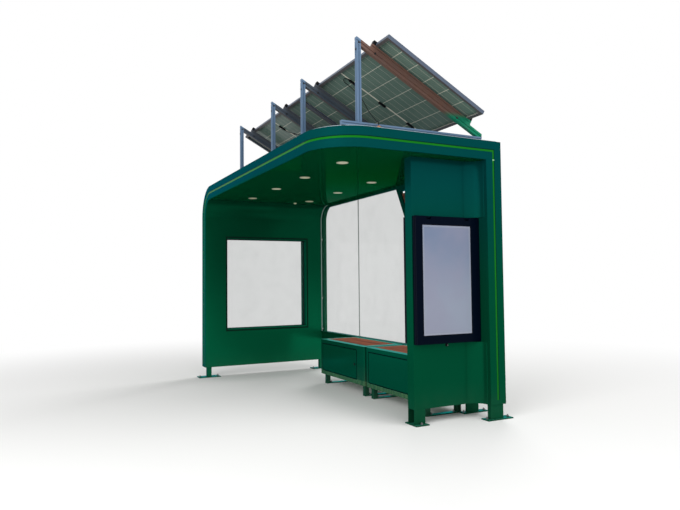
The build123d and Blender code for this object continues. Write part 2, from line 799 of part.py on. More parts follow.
def slope_bar(x, s, n):
    """Bar between limits along the roof, down the slope and out of the panels' top face."""
    with BuildPart() as bar:
        with BuildSketch(slope.offset(n[0])):
            with Locations((middle(x), middle(s))):
                Rectangle(x[1] - x[0], s[1] - s[0])
        extrude(amount=n[1] - n[0])
    return bar.part


def slope_height(y, n):
    """Height of the surface n out of the panel face, above a place y."""
    rise = math.radians(tilt)
    down = (y - array_high_y - n * math.sin(rise)) / math.cos(rise)
    return array_high_z - down * math.sin(rise) + n * math.cos(rise)


support_places = [support_middle + reach
                  for reach in (-support_outer, -support_inner, support_inner, support_outer)]
rail_under = -panel_depth - rail_section
beam_under = rail_under - beam_height


def panel(left, name):
    """Framed panel with its laminate, seen in the slope frame."""
    span = (left, left + panel_length)
    with BuildPart() as frame:
        add(slope_bar(span, (0, panel_width), (-panel_depth, 0)))
        add(slope_bar((span[0] + frame_wall, span[1] - frame_wall),
                      (frame_wall, panel_width - frame_wall),
                      (-panel_depth + flange_thickness, 0)), mode=Mode.SUBTRACT)
        add(slope_bar((span[0] + frame_flange, span[1] - frame_flange),
                      (frame_flange, panel_width - frame_flange),
                      (-panel_depth, -panel_depth + flange_thickness)), mode=Mode.SUBTRACT)
        slot = frame_wall - laminate_bite - pane_play
        add(slope_bar((span[0] + slot, span[1] - slot), (slot, panel_width - slot),
                      (-laminate_drop - laminate_thickness - pane_play, -laminate_drop + pane_play)),
            mode=Mode.SUBTRACT)
    write(frame.part, name + "_frame")
    edge = frame_wall - laminate_bite
    laminate = slope_bar((span[0] + edge, span[1] - edge), (edge, panel_width - edge),
                         (-laminate_drop - laminate_thickness, -laminate_drop))
    write(laminate, name + "_laminate")


panel_starts = (array_middle - panel_gap / 2 - panel_length, array_middle + panel_gap / 2)
panel(panel_starts[0], "far_panel")
panel(panel_starts[1], "near_panel")

laminate_back = -laminate_drop - laminate_thickness
with BuildPart() as junction_boxes:
    for start in panel_starts:
        for share in junction_places:
            s = share * panel_width
            x = start + panel_length / 2
            add(slope_bar((x - junction_width / 2, x + junction_width / 2),
                          (s - junction_length / 2, s + junction_length / 2),
                          (laminate_back - junction_height, laminate_back)))
write(junction_boxes.part, "junction_boxes")


def groove_span(place):
    """Limits of a groove along the middle of a section's face."""
    return (place - groove_width / 2, place + groove_width / 2)


def groove_sides(place, size):
    """Depths of the two grooves let into opposite faces of a section."""
    return ((place - size / 2, place - size / 2 + groove_depth),
            (place + size / 2 - groove_depth, place + size / 2))


# Mounting rails down the slope, sloped beams under them, struts and base beams
rail_ends = (-clamp_length, panel_width + clamp_length)
with BuildPart() as mounting_rails:
    for x in support_places:
        add(slope_bar((x - rail_section / 2, x + rail_section / 2), rail_ends, (rail_under, -panel_depth)))
        for side in groove_sides(x, rail_section):
            add(slope_bar(side, rail_ends, groove_span(middle((rail_under, -panel_depth)))),
                mode=Mode.SUBTRACT)
write(mounting_rails.part, "mounting_rails")

base_top = roof_top + base_height
strut_y = (strut_place - strut_size / 2, strut_place + strut_size / 2)
with BuildPart() as support_beams:
    for x in support_places:
        with BuildSketch(Plane.YZ.offset(x - beam_width / 2)):
            with BuildLine():
                Polyline((strut_y[0], slope_height(strut_y[0], rail_under)),
                         (strut_y[0], slope_height(strut_y[0], beam_under)),
                         (base_rear, slope_height(base_rear, beam_under)),
                         (base_rear, slope_height(base_rear, rail_under)), close=True)
            make_face()
        extrude(amount=beam_width)
        for side in groove_sides(x, beam_width):
            add(slope_bar(side, (-panel_width, 2 * panel_width),
                          groove_span(middle((beam_under, rail_under)))), mode=Mode.SUBTRACT)
    add(block((-shelter_length, shelter_length), (-shelter_depth, shelter_depth), (0, base_top)),
        mode=Mode.SUBTRACT)
write(support_beams.part, "support_beams")

with BuildPart() as support_struts:
    for x in support_places:
        with BuildSketch(Plane.YZ.offset(x - strut_size / 2)):
            with BuildLine():
                Polyline((strut_y[0], base_top), (strut_y[0], slope_height(strut_y[0], beam_under)),
                         (strut_y[1], slope_height(strut_y[1], beam_under)), (strut_y[1], base_top),
                         close=True)
            make_face()
        extrude(amount=strut_size)
        for side in groove_sides(x, strut_size):
            add(block(side, groove_span(strut_place), (base_top, array_high_z)), mode=Mode.SUBTRACT)
        for side in groove_sides(strut_place, strut_size):
            add(block(groove_span(x), side, (base_top, array_high_z)), mode=Mode.SUBTRACT)
write(support_struts.part, "support_struts")

with BuildPart() as base_beams:
    for x in support_places:
        add(block((x - beam_width / 2, x + beam_width / 2), (base_front, base_rear), (roof_top, base_top)))
        for side in groove_sides(x, beam_width):
            add(block(side, (base_front, base_rear), groove_span(middle((roof_top, base_top)))),
                mode=Mode.SUBTRACT)
write(base_beams.part, "base_beams")

# Black clamps that hold the panels' high and low edges on the rails
with BuildPart() as end_clamps:
    for x in support_places:
        width = (x - clamp_width / 2, x + clamp_width / 2)
        add(slope_bar(width, (-clamp_length, 0), (-panel_depth, clamp_cap)))
        add(slope_bar(width, (-clamp_length, clamp_lip), (0, clamp_cap)))
        add(slope_bar(width, (panel_width, panel_width + clamp_length), (-panel_depth, clamp_cap)))
        add(slope_bar(width, (panel_width - clamp_lip, panel_width + clamp_length), (0, clamp_cap)))
write(end_clamps.part, "end_clamps")

# Gland where a lead goes down through the roof: a nut on the cover plate and a round stub
gland_x = support_places[-1] + beam_width / 2 + gland_clear + gland_radius
gland_y = strut_place + gland_setback
gland_top = roof_top + gland_nut + gland_stub
with BuildPart() as cable_gland:
    with BuildSketch(Plane.XY.offset(roof_top)):
        with Locations((gland_x, gland_y)):
            RegularPolygon(gland_radius, 6)
    extrude(amount=gland_nut)
    with BuildSketch(Plane.XY.offset(roof_top + gland_nut)):
        with Locations((gland_x, gland_y)):
            Circle(gland_stub_radius)
    extrude(amount=gland_stub)
write(cable_gland.part, "cable_gland")


def box_end(start, share, side, run=0):
    """Middle of a junction box's upper (-1) or lower (1) end face, or a run straight out of it."""
    s = share * panel_width + side * (junction_length / 2 + run)
    return slope.from_local_coords((start + panel_length / 2, s, laminate_back - junction_height / 2))


def lead(points, name):
    """Lead along its route, eight-sided, each bend as wide as the shorter run beside it allows."""
    route = [Vector(point) for point in points]
    radii = []
    for before, here, after in zip(route, route[1:], route[2:]):
        turn = math.radians((here - before).get_angle(after - here))
        run = min((here - before).length, (after - here).length)
        radii.append(bend_share * run / math.tan(turn / 2))
    print(name, "bend radii", [round(radius) for radius in radii])
    with BuildPart() as tube:
        with BuildLine() as path:
            FilletPolyline(*route, radius=radii)
        with BuildSketch(path.line ^ 0):
            RegularPolygon(lead_radius, lead_sides)
        sweep()
    write(tube.part, name)


# Lead of the near panel: a loop at its upper junction box, then down to the gland
near_upper = (panel_starts[1], junction_places[0], -1)
near_route = [(1147.5, -289, 3282), (1120, -289.5, 3280), (1100.5, -274.5, 3268), (1100.5, -254, 3249.5),
              (1114.5, -236, 3233), (1142, -235, 3211.5), (1178.5, -234, 3186.5), (1226, -232, 3151),
              (1286, -230, 3102.5), (1352.5, -232, 3046.5), (1417, -238, 2989), (1481, -248, 2931),
              (1545, -262, 2875), (1612, -279, 2823), (1682, -298, 2776), (1754, -320, 2733.5),
              (1816, -341, 2702), (1863, -358, 2675.5), (1899, -370.5, 2658), (1932, -377.5, 2648)]
lead([box_end(*near_upper), box_end(*near_upper, lead_start)] + near_route
     + [(gland_x, gland_y, gland_top + lead_end), (gland_x, gland_y, gland_top)], "near_lead")

# Lead between the panels, slung under the beams
far_upper = (panel_starts[0], junction_places[0], 1)
near_lower = (panel_starts[1], junction_places[-1], 1)
far_route = [(-737, -124, 3193.5), (-693, -117, 3175), (-634, -117.5, 3154), (-554, -120.5, 3128),
             (-466, -120.5, 3101.5), (-378, -116.5, 3076.5), (-290, -109.5, 3051.5), (-203, -100, 3025.5),
             (-116, -88, 2998), (-30, -74, 2970), (56, -57.5, 2942), (141, -38.5, 2915), (227, -17, 2889),
             (312, 6.5, 2864.5), (397, 32, 2841.5), (482, 60, 2820.5), (566, 90.5, 2801.5),
             (649, 125, 2785), (731, 165, 2771), (810, 210.5, 2760), (885, 262, 2751.5),
             (957, 318, 2745.5), (1026, 378, 2747), (1084.5, 432, 2759.5), (1126, 474, 2774),
             (1153.5, 509, 2786), (1164, 526, 2806.5), (1166.5, 529, 2833)]
lead([box_end(*far_upper), box_end(*far_upper, lead_start)] + far_route
     + [box_end(*near_lower, lead_start), box_end(*near_lower)], "far_lead")
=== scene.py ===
"""Looks of the bus shelter: its finishes, small fittings, leads, floor, light and camera."""
import json
import math

import bpy
import numpy as np
from mathutils import Matrix, Vector


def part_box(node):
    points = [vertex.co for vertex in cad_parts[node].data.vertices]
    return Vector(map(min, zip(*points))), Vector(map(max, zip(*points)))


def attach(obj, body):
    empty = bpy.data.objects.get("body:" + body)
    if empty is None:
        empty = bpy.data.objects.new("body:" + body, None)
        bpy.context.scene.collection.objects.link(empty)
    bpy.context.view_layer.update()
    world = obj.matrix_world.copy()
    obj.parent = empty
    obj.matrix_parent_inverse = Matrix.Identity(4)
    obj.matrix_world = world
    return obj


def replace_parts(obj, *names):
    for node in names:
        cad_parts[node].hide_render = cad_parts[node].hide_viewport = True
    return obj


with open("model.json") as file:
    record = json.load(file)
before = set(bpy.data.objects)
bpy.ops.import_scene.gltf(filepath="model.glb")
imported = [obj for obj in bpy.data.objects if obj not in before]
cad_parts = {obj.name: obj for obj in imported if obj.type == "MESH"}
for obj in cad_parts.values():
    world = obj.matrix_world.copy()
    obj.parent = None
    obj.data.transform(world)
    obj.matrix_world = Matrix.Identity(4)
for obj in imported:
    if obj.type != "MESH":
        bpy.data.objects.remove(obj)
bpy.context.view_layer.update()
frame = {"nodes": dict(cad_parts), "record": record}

# Camera, fitted to the photograph's vanishing points
PHOTO_SIZE = (680, 510)
FOCAL_PIXELS = 605.39
CAMERA_PLACE = (6.304, -2.994, 1.280)
YAW, PITCH, ROLL = (math.radians(angle) for angle in (26.79, 2.544, -0.585))
SENSOR = 36.0

# Solar panels
TILT = math.radians(28)
ARRAY_HIGH = np.array([0.0, -0.370, 3.345])     # top of the high edge
CELL_LENGTH = 0.091
CELL_WIDTH = 0.182
CELL_GAP = 0.002
GAP_SHOWN_BELOW = 0.003     # how much wider the gaps show from below
CORNER_DOT = 0.010
WIRE_PITCH = 0.0182
MIDDLE_GAP = 0.020
HALF_COLUMNS = 10
CELL_ROWS = 6

# Height of the soffit's underside
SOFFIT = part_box("soffit_sheets")[0].z

# Marks on the paintwork and the screens
STRIPE_SHADOW = 0.006
STRIPE_JOINT = 0.004
# Width of the painted shade along a door's edge
DOOR_GAP_SHADE = 0.008
SCREEN_BORDER = 0.028
SCREEN_LINE = 0.0012
BENCH_RAIL = (0.12, 0.172)      # foot and top of the benches' lower rail

# Paint tones
LOW_GREEN = (0.0010, 0.068, 0.030)
# Bluer green of the fascia and the near wall's top: a painted reflection of the sky
SKY_REFLECTION_GREEN = (0.0010, 0.058, 0.058)
# Lighter green of the soffit: painted light
DEEP_GREEN = (0.0010, 0.088, 0.030)
BENCH_GREEN = (0.0010, 0.076, 0.040)
# Dark green of the painted shade in the gaps round the bench doors
GAP_SHADE_GREEN = (0.0008, 0.0095, 0.0075)
# Mint of faces that look up: painted sunlight
SUNLIT_MINT = (0.080, 0.560, 0.400)
# Olive of the benches' lower rails: a painted reflection of the ground
GROUND_REFLECTION_OLIVE = (0.075, 0.160, 0.078)
DUST = (0.24, 0.23, 0.17)

# Anchors and leads
ANCHOR_EDGE = 0.022         # from an anchor to the end of its plate
PLATE_LENGTH = 0.290
PLATE_TOP = 0.010
LEAD_DIAMETER = 0.007


def camera_turn():
    """Rotation of the camera: it looks along its own -Z, with its Y up."""
    forward = Vector((-math.cos(YAW) * math.cos(PITCH), math.sin(YAW) * math.cos(PITCH), math.sin(PITCH)))
    level_right = forward.cross(Vector((0, 0, 1))).normalized()
    level_up = level_right.cross(forward)
    right = level_right * math.cos(ROLL) + level_up * math.sin(ROLL)
    up = level_up * math.cos(ROLL) - level_right * math.sin(ROLL)
    return Matrix((right, up, -forward)).transposed().to_4x4()


scene = bpy.context.scene
lens = bpy.data.cameras.new("camera")
lens.sensor_width = SENSOR
lens.lens = FOCAL_PIXELS / PHOTO_SIZE[0] * SENSOR
lens.clip_end = 200
camera = bpy.data.objects.new("camera", lens)
scene.collection.objects.link(camera)
camera.matrix_world = Matrix.Translation(CAMERA_PLACE) @ camera_turn()
scene.camera = camera


class Socket:
    """An output of a shader node, with arithmetic that adds Math nodes."""

    def __init__(self, look, output):
        self.look = look
        self.output = output

    def __add__(self, other):
        return self.look.math("ADD", self, other)

    def __radd__(self, other):
        return self.look.math("ADD", other, self)

    def __sub__(self, other):
        return self.look.math("SUBTRACT", self, other)

    def __rsub__(self, other):
        return self.look.math("SUBTRACT", other, self)

    def __mul__(self, other):
        return self.look.math("MULTIPLY", self, other)

    def __rmul__(self, other):
        return self.look.math("MULTIPLY", other, self)

    def __mod__(self, other):
        return self.look.math("FLOORED_MODULO", self, other)

    def __gt__(self, other):
        return self.look.math("GREATER_THAN", self, other)

    def __lt__(self, other):
        return self.look.math("LESS_THAN", self, other)

    def __abs__(self):
        return self.look.math("ABSOLUTE", self)


class Look:
    """A material, or another owner of shader nodes, under construction."""

    def __init__(self, name, owners=bpy.data.materials, ending="ShaderNodeOutputMaterial"):
        self.owner = owners.new(name)
        self.owner.use_nodes = True
        self.tree = self.owner.node_tree
        self.tree.nodes.clear()
        self.output = self.tree.nodes.new(ending)

    def node(self, kind, settings=None, values=None, output=0):
        """Adds a node, sets what it is told, then its sockets, and gives one of its outputs."""
        made = self.tree.nodes.new(kind)
        for name, value in (settings or {}).items():
            setattr(made, name, value)
        for key, value in (values or {}).items():
            if isinstance(value, Socket):
                self.tree.links.new(value.output, made.inputs[key])
            else:
                made.inputs[key].default_value = value
        return Socket(self, made.outputs[output])

    def math(self, operation, *values):
        return self.node("ShaderNodeMath", {"operation": operation}, dict(enumerate(values)))

    def either(self, *masks):
        """The highest of some masks."""
        highest = masks[0]
        for mask in masks[1:]:
            highest = self.math("MAXIMUM", highest, mask)
        return highest

    def nearest(self, *distances):
        """The lowest of some distances."""
        lowest = distances[0]
        for distance in distances[1:]:
            lowest = self.math("MINIMUM", lowest, distance)
        return lowest

    def place(self):
        """The x, y and z of a point on the object."""
        spot = self.node("ShaderNodeTexCoord", output="Object")
        return [self.node("ShaderNodeSeparateXYZ", values={0: spot}, output=axis) for axis in "XYZ"]

    def facing(self, axis):
        """How far a surface faces along an axis, from -1 to 1."""
        normal = self.node("ShaderNodeNewGeometry", output="Normal")
        return self.node("ShaderNodeSeparateXYZ", values={0: normal}, output=axis)

    def noise(self, scale, detail, stretch=(1, 1, 1), turn=(0, 0, 0)):
        """Cloudy values from 0 to 1, with their size in 1 / scale metres, drawn out along an axis."""
        spot = self.node("ShaderNodeTexCoord", output="Object")
        spot = self.node("ShaderNodeMapping", values={0: spot, "Rotation": turn, "Scale": stretch})
        return self.node("ShaderNodeTexNoise", values={"Vector": spot, "Scale": scale, "Detail": detail})

    def ease(self, value, start, end, low=0.0, high=1.0):
        """Runs smoothly from low to high while the value goes from start to end."""
        return self.node("ShaderNodeMapRange", {"interpolation_type": "SMOOTHSTEP"},
                         {0: value, 1: start, 2: end, 3: low, 4: high})

    def blend(self, first, second, share):
        """Colour between two others."""
        pair = [colour if isinstance(colour, Socket) else (*colour, 1) for colour in (first, second)]
        return self.node("ShaderNodeMix", {"data_type": "RGBA"}, {0: share, 6: pair[0], 7: pair[1]}, 2)

    def bump(self, height, distance, strength, edge):
        """Normal of a surface raised by a height, over edges softened by a radius in metres."""
        softened = self.node("ShaderNodeBevel", {"samples": 4}, {"Radius": edge})
        return self.node("ShaderNodeBump", values={"Height": height, "Distance": distance,
                                                   "Strength": strength, "Normal": softened})

    def close(self, shader):
        """Ends the nodes with a shader, and gives their owner."""
        self.tree.links.new(shader.output, self.output.inputs[0])
        return self.owner

    def surface(self, **values):
        """Closes the material with a Principled shader, whose sockets are named with underscores."""
        named = {key.replace("_", " "): value for key, value in values.items()}
        for key in ("Base Color", "Emission Color", "Specular Tint"):
            if key in named and not isinstance(named[key], Socket):
                named[key] = (*named[key], 1)
        return self.close(self.node("ShaderNodeBsdfPrincipled", values=named))


def scaled(colour, share):
    """A colour made darker or lighter."""
    return tuple(part * share for part in colour)


def enamel(name, low_tone, sky_reflection_tone, roughness, dust=0.0, wave=1.0, shine=(0.02, 0.50, 0.62), painted_sunlight=0.25,
           door=None, rail=None):
    """Enamelled sheet metal, greener low down, bluer on the fascia and high up at the near end, where
    the blue is a painted reflection of the sky, with slight clouds, a fine orange peel, sheets that
    aren't quite flat, soft edges, and dust low down. Faces that look up are a bright mint, painted
    sunlight, and the far wall is paler inside towards its foot, painted light. A door has a dark line
    along its edge, painted shade in the gap round it, and a bench's lower rail is a streaky olive, a
    painted reflection of the ground."""
    look = Look(name)
    x, y, z = look.place()
    high_up = look.ease(z, 0.9, 2.5) * look.ease(x, -1.0, 1.5)
    # Bluer on the fascia and high up at the near end: a painted reflection of the sky
    painted_sky_reflection = look.either(high_up, look.ease(z, SOFFIT, SOFFIT + 0.03))
    cloud = look.noise(1.3, 3)
    tone = look.blend(look.blend(low_tone, sky_reflection_tone, painted_sky_reflection),
                      look.blend(scaled(low_tone, 0.78), scaled(sky_reflection_tone, 0.78), painted_sky_reflection), cloud)
    # Paler inside the far wall towards its foot: painted light
    far_wall_painted_light = look.ease(x, -1.80, -1.88) * look.ease(z, 1.7, 0.5) * (look.facing("X") > 0.5)
    tone = look.blend(tone, scaled(low_tone, 1.9), far_wall_painted_light * 0.8)
    if dust:
        tone = look.blend(tone, DUST, look.ease(z, 0.40, 0.05) * look.noise(9, 5) * dust)
    # Streaky olive on a bench's lower rail: a painted reflection of the ground
    if rail:
        foot, top = rail
        streaks = look.noise(45, 1, (1, 1, 0.15), (0, math.radians(40), 0))
        streaky_reflection = look.ease(streaks, 0.40, 0.60, 0.45, 1.0)
        tone = look.blend(tone, GROUND_REFLECTION_OLIVE, look.ease(z, top + 0.004, top) * streaky_reflection * (z > foot))
    # Dark line along a door's edge: painted shade in the gap round the door
    if door:
        low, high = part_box(door)
        inset = look.nearest(x - low.x, high.x - x, z - low.z, high.z - z)
        tone = look.blend(tone, GAP_SHADE_GREEN, look.ease(inset, DOOR_GAP_SHADE, DOOR_GAP_SHADE * 0.7))
    # Faces that look up turn mint: painted sunlight
    tone = look.blend(tone, SUNLIT_MINT, look.ease(look.facing("Z"), 0.75, 0.98) * painted_sunlight)
    height = look.noise(420, 1) * 0.04 + look.noise(2.2, 1) * wave
    return look.surface(Base_Color=tone, Roughness=roughness + look.noise(6, 4) * 0.06, Metallic=0.45,
                        Specular_IOR_Level=0.0, Specular_Tint=shine,
                        Normal=look.bump(height, 0.0010, 0.5, 0.003))


def painted_sheet(name, colour, roughness, coat, level=0.4):
    """Painted sheet with slight tone clouds and a fine orange peel."""
    look = Look(name)
    tone = look.blend(colour, scaled(colour, 0.78), look.noise(2.0, 3))
    height = look.noise(420, 1) * 0.04 + look.noise(2.2, 1)
    return look.surface(Base_Color=tone, Roughness=roughness + look.noise(6, 4) * 0.08,
                        Normal=look.bump(height, 0.0010, 0.5, 0.003), Coat_Weight=coat,
                        Coat_Roughness=0.06, Specular_IOR_Level=level)


def stripe_film(name):
    """Lime band with a dark line along its outer edge, a painted shadow of the groove it lies in, and a
    pale dot where two lengths of it meet on the post."""
    look = Look(name)
    x, y, z = look.place()
    joint = (abs(z - SOFFIT) < STRIPE_JOINT) * (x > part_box("post_stripe")[0].x)
    top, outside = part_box("front_stripe")[1].z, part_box("post_stripe")[1].y
    # Dark line along the outer edge: painted shadow of the groove
    line = look.either(z > top - STRIPE_SHADOW, y > outside - STRIPE_SHADOW)
    tone = look.blend((0.004, 0.115, 0.006), (0.007, 0.150, 0.008), look.noise(3, 2))
    tone = look.blend(tone, (0.001, 0.018, 0.012), line)
    tone = look.blend(tone, (0.35, 0.60, 0.35), joint)
    return look.surface(Base_Color=tone, Roughness=0.30 + look.noise(20, 2) * 0.08,
                        Specular_IOR_Level=0.04, Normal=look.bump(look.noise(3, 1), 0.0008, 0.4, 0.001))


def plain_plastic(name, colour, roughness, level=0.35):
    """Moulded plastic with a fine grain."""
    look = Look(name)
    grain = look.noise(900, 2)
    tone = look.blend(colour, scaled(colour, 0.8), look.noise(30, 2))
    return look.surface(Base_Color=tone, Roughness=roughness + grain * 0.08, Specular_IOR_Level=level,
                        Normal=look.bump(grain, 0.0002, 0.5, 0.001))


def toughened_glass(name, thin_axis):
    """Toughened glass: faces nearly clear, with a faint grey-green body and a thin layer of dust; edges
    dark.
    """
    look = Look(name)
    face = abs(look.facing(thin_axis)) > 0.9
    dust_and_reflection = look.ease(look.noise(5, 6), 0.35, 0.90) * 0.025
    tone = look.blend((0.01, 0.09, 0.07), (0.045, 0.085, 0.072), face)
    return look.surface(Base_Color=tone, Roughness=0.02 + dust_and_reflection, Alpha=0.85 - face * 0.65 + dust_and_reflection,
                        Specular_IOR_Level=0.4)


def galvanised(name, dark, light):
    """Galvanised steel with its spangle."""
    look = Look(name)
    spangle = look.node("ShaderNodeTexVoronoi", values={"Scale": 60}, output="Color")
    shade = look.node("ShaderNodeSeparateXYZ", values={0: spangle}, output="X")
    return look.surface(Base_Color=look.blend(dark, light, shade), Metallic=0.9,
                        Roughness=0.35 + shade * 0.2, Normal=look.bump(shade, 0.0002, 0.4, 0.001))


def extruded_aluminium(name, dark=(0.090, 0.150, 0.240), light=(0.130, 0.200, 0.300), reflects_ground=False):
    """Anodised aluminium, blue-grey, a painted reflection of the sky, with fine draw lines and faint water
    marks; faces that look down are darker and warmer, painted shade and a painted reflection of the
    ground. Lengths that reflect the ground are red-brown at the near end, a painted reflection of the
    ground, and have green feet, and the struts' own tone at the struts."""
    look = Look(name)
    lines = look.noise(400, 2, (0.5, 0.04, 0.04))
    # Blue-grey tones: a painted reflection of the sky
    tone = look.blend(dark, light, look.noise(5, 3))
    # Faces that look down are darker and warmer: painted shade and a painted reflection of the ground
    tone = look.blend(tone, (0.085, 0.080, 0.080), look.ease(look.facing("Z"), -0.25, -0.75))
    if reflects_ground:
        x, y, z = look.place()
        # Red-brown at the near end: a painted reflection of the ground
        dust_and_reflection = look.ease(x, 1.0, 1.5) * (0.6 + look.noise(8, 4) * 0.5)
        tone = look.blend(tone, (0.155, 0.082, 0.060), dust_and_reflection)
        tone = look.blend(tone, (0.008, 0.190, 0.105), look.ease(z, 2.84, 2.78))
        tone = look.blend(tone, (0.110, 0.175, 0.270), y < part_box("support_struts")[1].y)
    tone = look.blend(tone, (0.12, 0.12, 0.12), look.ease(look.noise(11, 5), 0.55, 0.80) * 0.3)
    return look.surface(Base_Color=tone, Metallic=0.35, Roughness=0.42 + lines * 0.12,
                        Specular_IOR_Level=0.1, Normal=look.bump(lines, 0.0001, 0.3, 0.001))


def streaked_board(name, colour, dark, length_scale, height):
    """Pressed board with long streaks along the shelter."""
    look = Look(name)
    streaks = look.noise(30, 6, (length_scale, 1, 1))
    fine = look.noise(160, 3, (length_scale, 1, 1))
    tone = look.blend(colour, dark, look.ease(streaks, 0.35, 0.7))
    tone = look.blend(tone, scaled(colour, 1.5), look.ease(fine, 0.55, 0.8) * 0.4)
    return look.surface(Base_Color=tone, Roughness=0.50 + fine * 0.2, Specular_IOR_Level=0.01,
                        Normal=look.bump(streaks + fine * 0.4, height, 0.5, 0.003))


def solar_cells(name):
    """Rows of half-cut cells with cream gaps, a wide gap across the middle and dots at the full cells'
    corners. Seen from below they are grey-green with pale wires, and dark blue from above."""
    look = Look(name)
    x, y, z = look.place()
    low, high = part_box("far_panel_laminate")
    near_low, near_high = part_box("near_panel_laminate")
    middles = ((low.x + high.x) / 2, (near_low.x + near_high.x) / 2)
    along = abs(abs(x - sum(middles) / 2) - (middles[1] - middles[0]) / 2) - MIDDLE_GAP / 2
    down = (y - low.y) * math.cos(TILT) - (z - high.z) * math.sin(TILT)
    row_pitch = CELL_WIDTH + CELL_GAP
    half_pitch = CELL_LENGTH + CELL_GAP
    length_down = (high.y - low.y) * math.cos(TILT) + (high.z - low.z) * math.sin(TILT)
    rows = down - length_down / 2 + CELL_ROWS / 2 * row_pitch
    in_row = rows % row_pitch
    in_half = along % half_pitch
    in_cell = along % (2 * half_pitch)
    row_edge = abs(look.nearest(in_row, CELL_WIDTH - in_row))
    cell_edge = abs(look.nearest(in_cell, 2 * half_pitch - CELL_GAP - in_cell))
    below = look.facing("Z") < 0
    gap = look.either((in_half > CELL_LENGTH) * 0.35,
                      (in_half > CELL_LENGTH - GAP_SHOWN_BELOW) * below * 0.38)
    corner = ((row_edge + cell_edge) < CORNER_DOT) * (1 - below)
    row_gap = in_row > (CELL_WIDTH - below * GAP_SHOWN_BELOW)
    bare = look.either(row_gap, gap, along < 0, corner, along > HALF_COLUMNS * half_pitch,
                       rows < 0, rows > CELL_ROWS * row_pitch)
    wires = look.ease(abs(in_row % WIRE_PITCH - WIRE_PITCH / 2), 0.0005, 0.0016, 0.55, 0.0)
    cloud = look.noise(7, 2)
    cell = look.blend(look.blend((0.006, 0.010, 0.024), (0.010, 0.015, 0.034), cloud),
                      look.blend((0.075, 0.125, 0.104), (0.110, 0.160, 0.130), cloud), below)
    cell = look.blend(cell, look.blend((0.12, 0.13, 0.15), (0.17, 0.24, 0.20), below), wires)
    tone = look.blend(cell, (0.52, 0.51, 0.42), bare)
    return look.surface(Base_Color=tone, Roughness=0.16 + look.noise(12, 3) * 0.1, Specular_IOR_Level=0.08)


def lamp_part(name, colour, glow):
    """Cream part of a lamp that shines a little by itself."""
    look = Look(name)
    tone = look.blend(colour, scaled(colour, 0.9), look.noise(60, 2))
    return look.surface(Base_Color=tone, Roughness=0.35 + look.noise(90, 2) * 0.1,
                        Emission_Color=colour, Emission_Strength=glow)


def pale_screen(name, node):
    """Pale lilac translucent sheet behind a glossy face, a little darker and bluer towards its top, and
    lighter in a narrow border past a fine line."""
    look = Look(name)
    x, y, z = look.place()
    low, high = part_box(node)
    inset = look.nearest(y - low.y, high.y - y, z - low.z, high.z - z)
    tone = look.blend((0.225, 0.255, 0.325), (0.135, 0.172, 0.258), look.ease(z, 1.0, 1.75))
    tone = look.blend(tone, (0.215, 0.212, 0.285), look.ease(look.noise(2.5, 2), 0.35, 0.7) * 0.5)
    tone = look.blend(tone, (0.300, 0.320, 0.380), (inset < SCREEN_BORDER) * 0.35)
    tone = look.blend(tone, (0.150, 0.170, 0.200), (abs(inset - SCREEN_BORDER) < SCREEN_LINE) * 0.4)
    return look.surface(Base_Color=tone, Roughness=0.16 + look.noise(4, 3) * 0.06, Specular_IOR_Level=0.2)


# The finish of each slot, and of the nodes that differ from their slot
LOOKS = {
    "green_paint": enamel("green_paint", LOW_GREEN, SKY_REFLECTION_GREEN, 0.16, dust=0.04),
    # The soffit is a lighter copy of the shelter's green: painted light
    "soffit_paint": enamel("soffit_paint", DEEP_GREEN, DEEP_GREEN, 0.05, wave=0.5,
                           shine=(0.008, 0.24, 0.11)),
    "lime_stripe": stripe_film("lime_stripe"),
    "roof_plate": painted_sheet("roof_plate", (0.40, 0.45, 0.50), 0.4, coat=0.1),
    "box_paint": painted_sheet("box_paint", (0.0008, 0.0028, 0.0085), 0.26, coat=0.0, level=0.02),
    "screen": pale_screen("screen", "outer_screen"),
    "lamp": lamp_part("lamp", (0.42, 0.40, 0.27), 0.30),
    "clear_glass": toughened_glass("clear_glass", "Y"),
    "steel": galvanised("steel", (0.15, 0.16, 0.17), (0.26, 0.27, 0.28)),
    "aluminium": extruded_aluminium("aluminium"),
    "bench_paint": enamel("bench_paint", BENCH_GREEN, BENCH_GREEN, 0.14, dust=0.15, painted_sunlight=0.9,
                          rail=BENCH_RAIL),
    "seat_board": streaked_board("seat_board", (0.40, 0.115, 0.055), (0.17, 0.050, 0.028), 0.05, 0.0006),
    "infill_board": streaked_board("infill_board", (0.14, 0.060, 0.036), (0.07, 0.028, 0.018),
                                   0.1, 0.0004),
    "cells": solar_cells("cells"),
    "black_plastic": plain_plastic("black_plastic", (0.0040, 0.0042, 0.0055), 0.45, level=0.10),
    "gland_plastic": plain_plastic("gland_plastic", (0.33, 0.13, 0.05), 0.35),
}
for part in frame["record"]["subparts"]:
    mesh = frame["nodes"][part["node"]].data
    mesh.materials.clear()
    mesh.materials.append(LOOKS[part["material_slot"]])
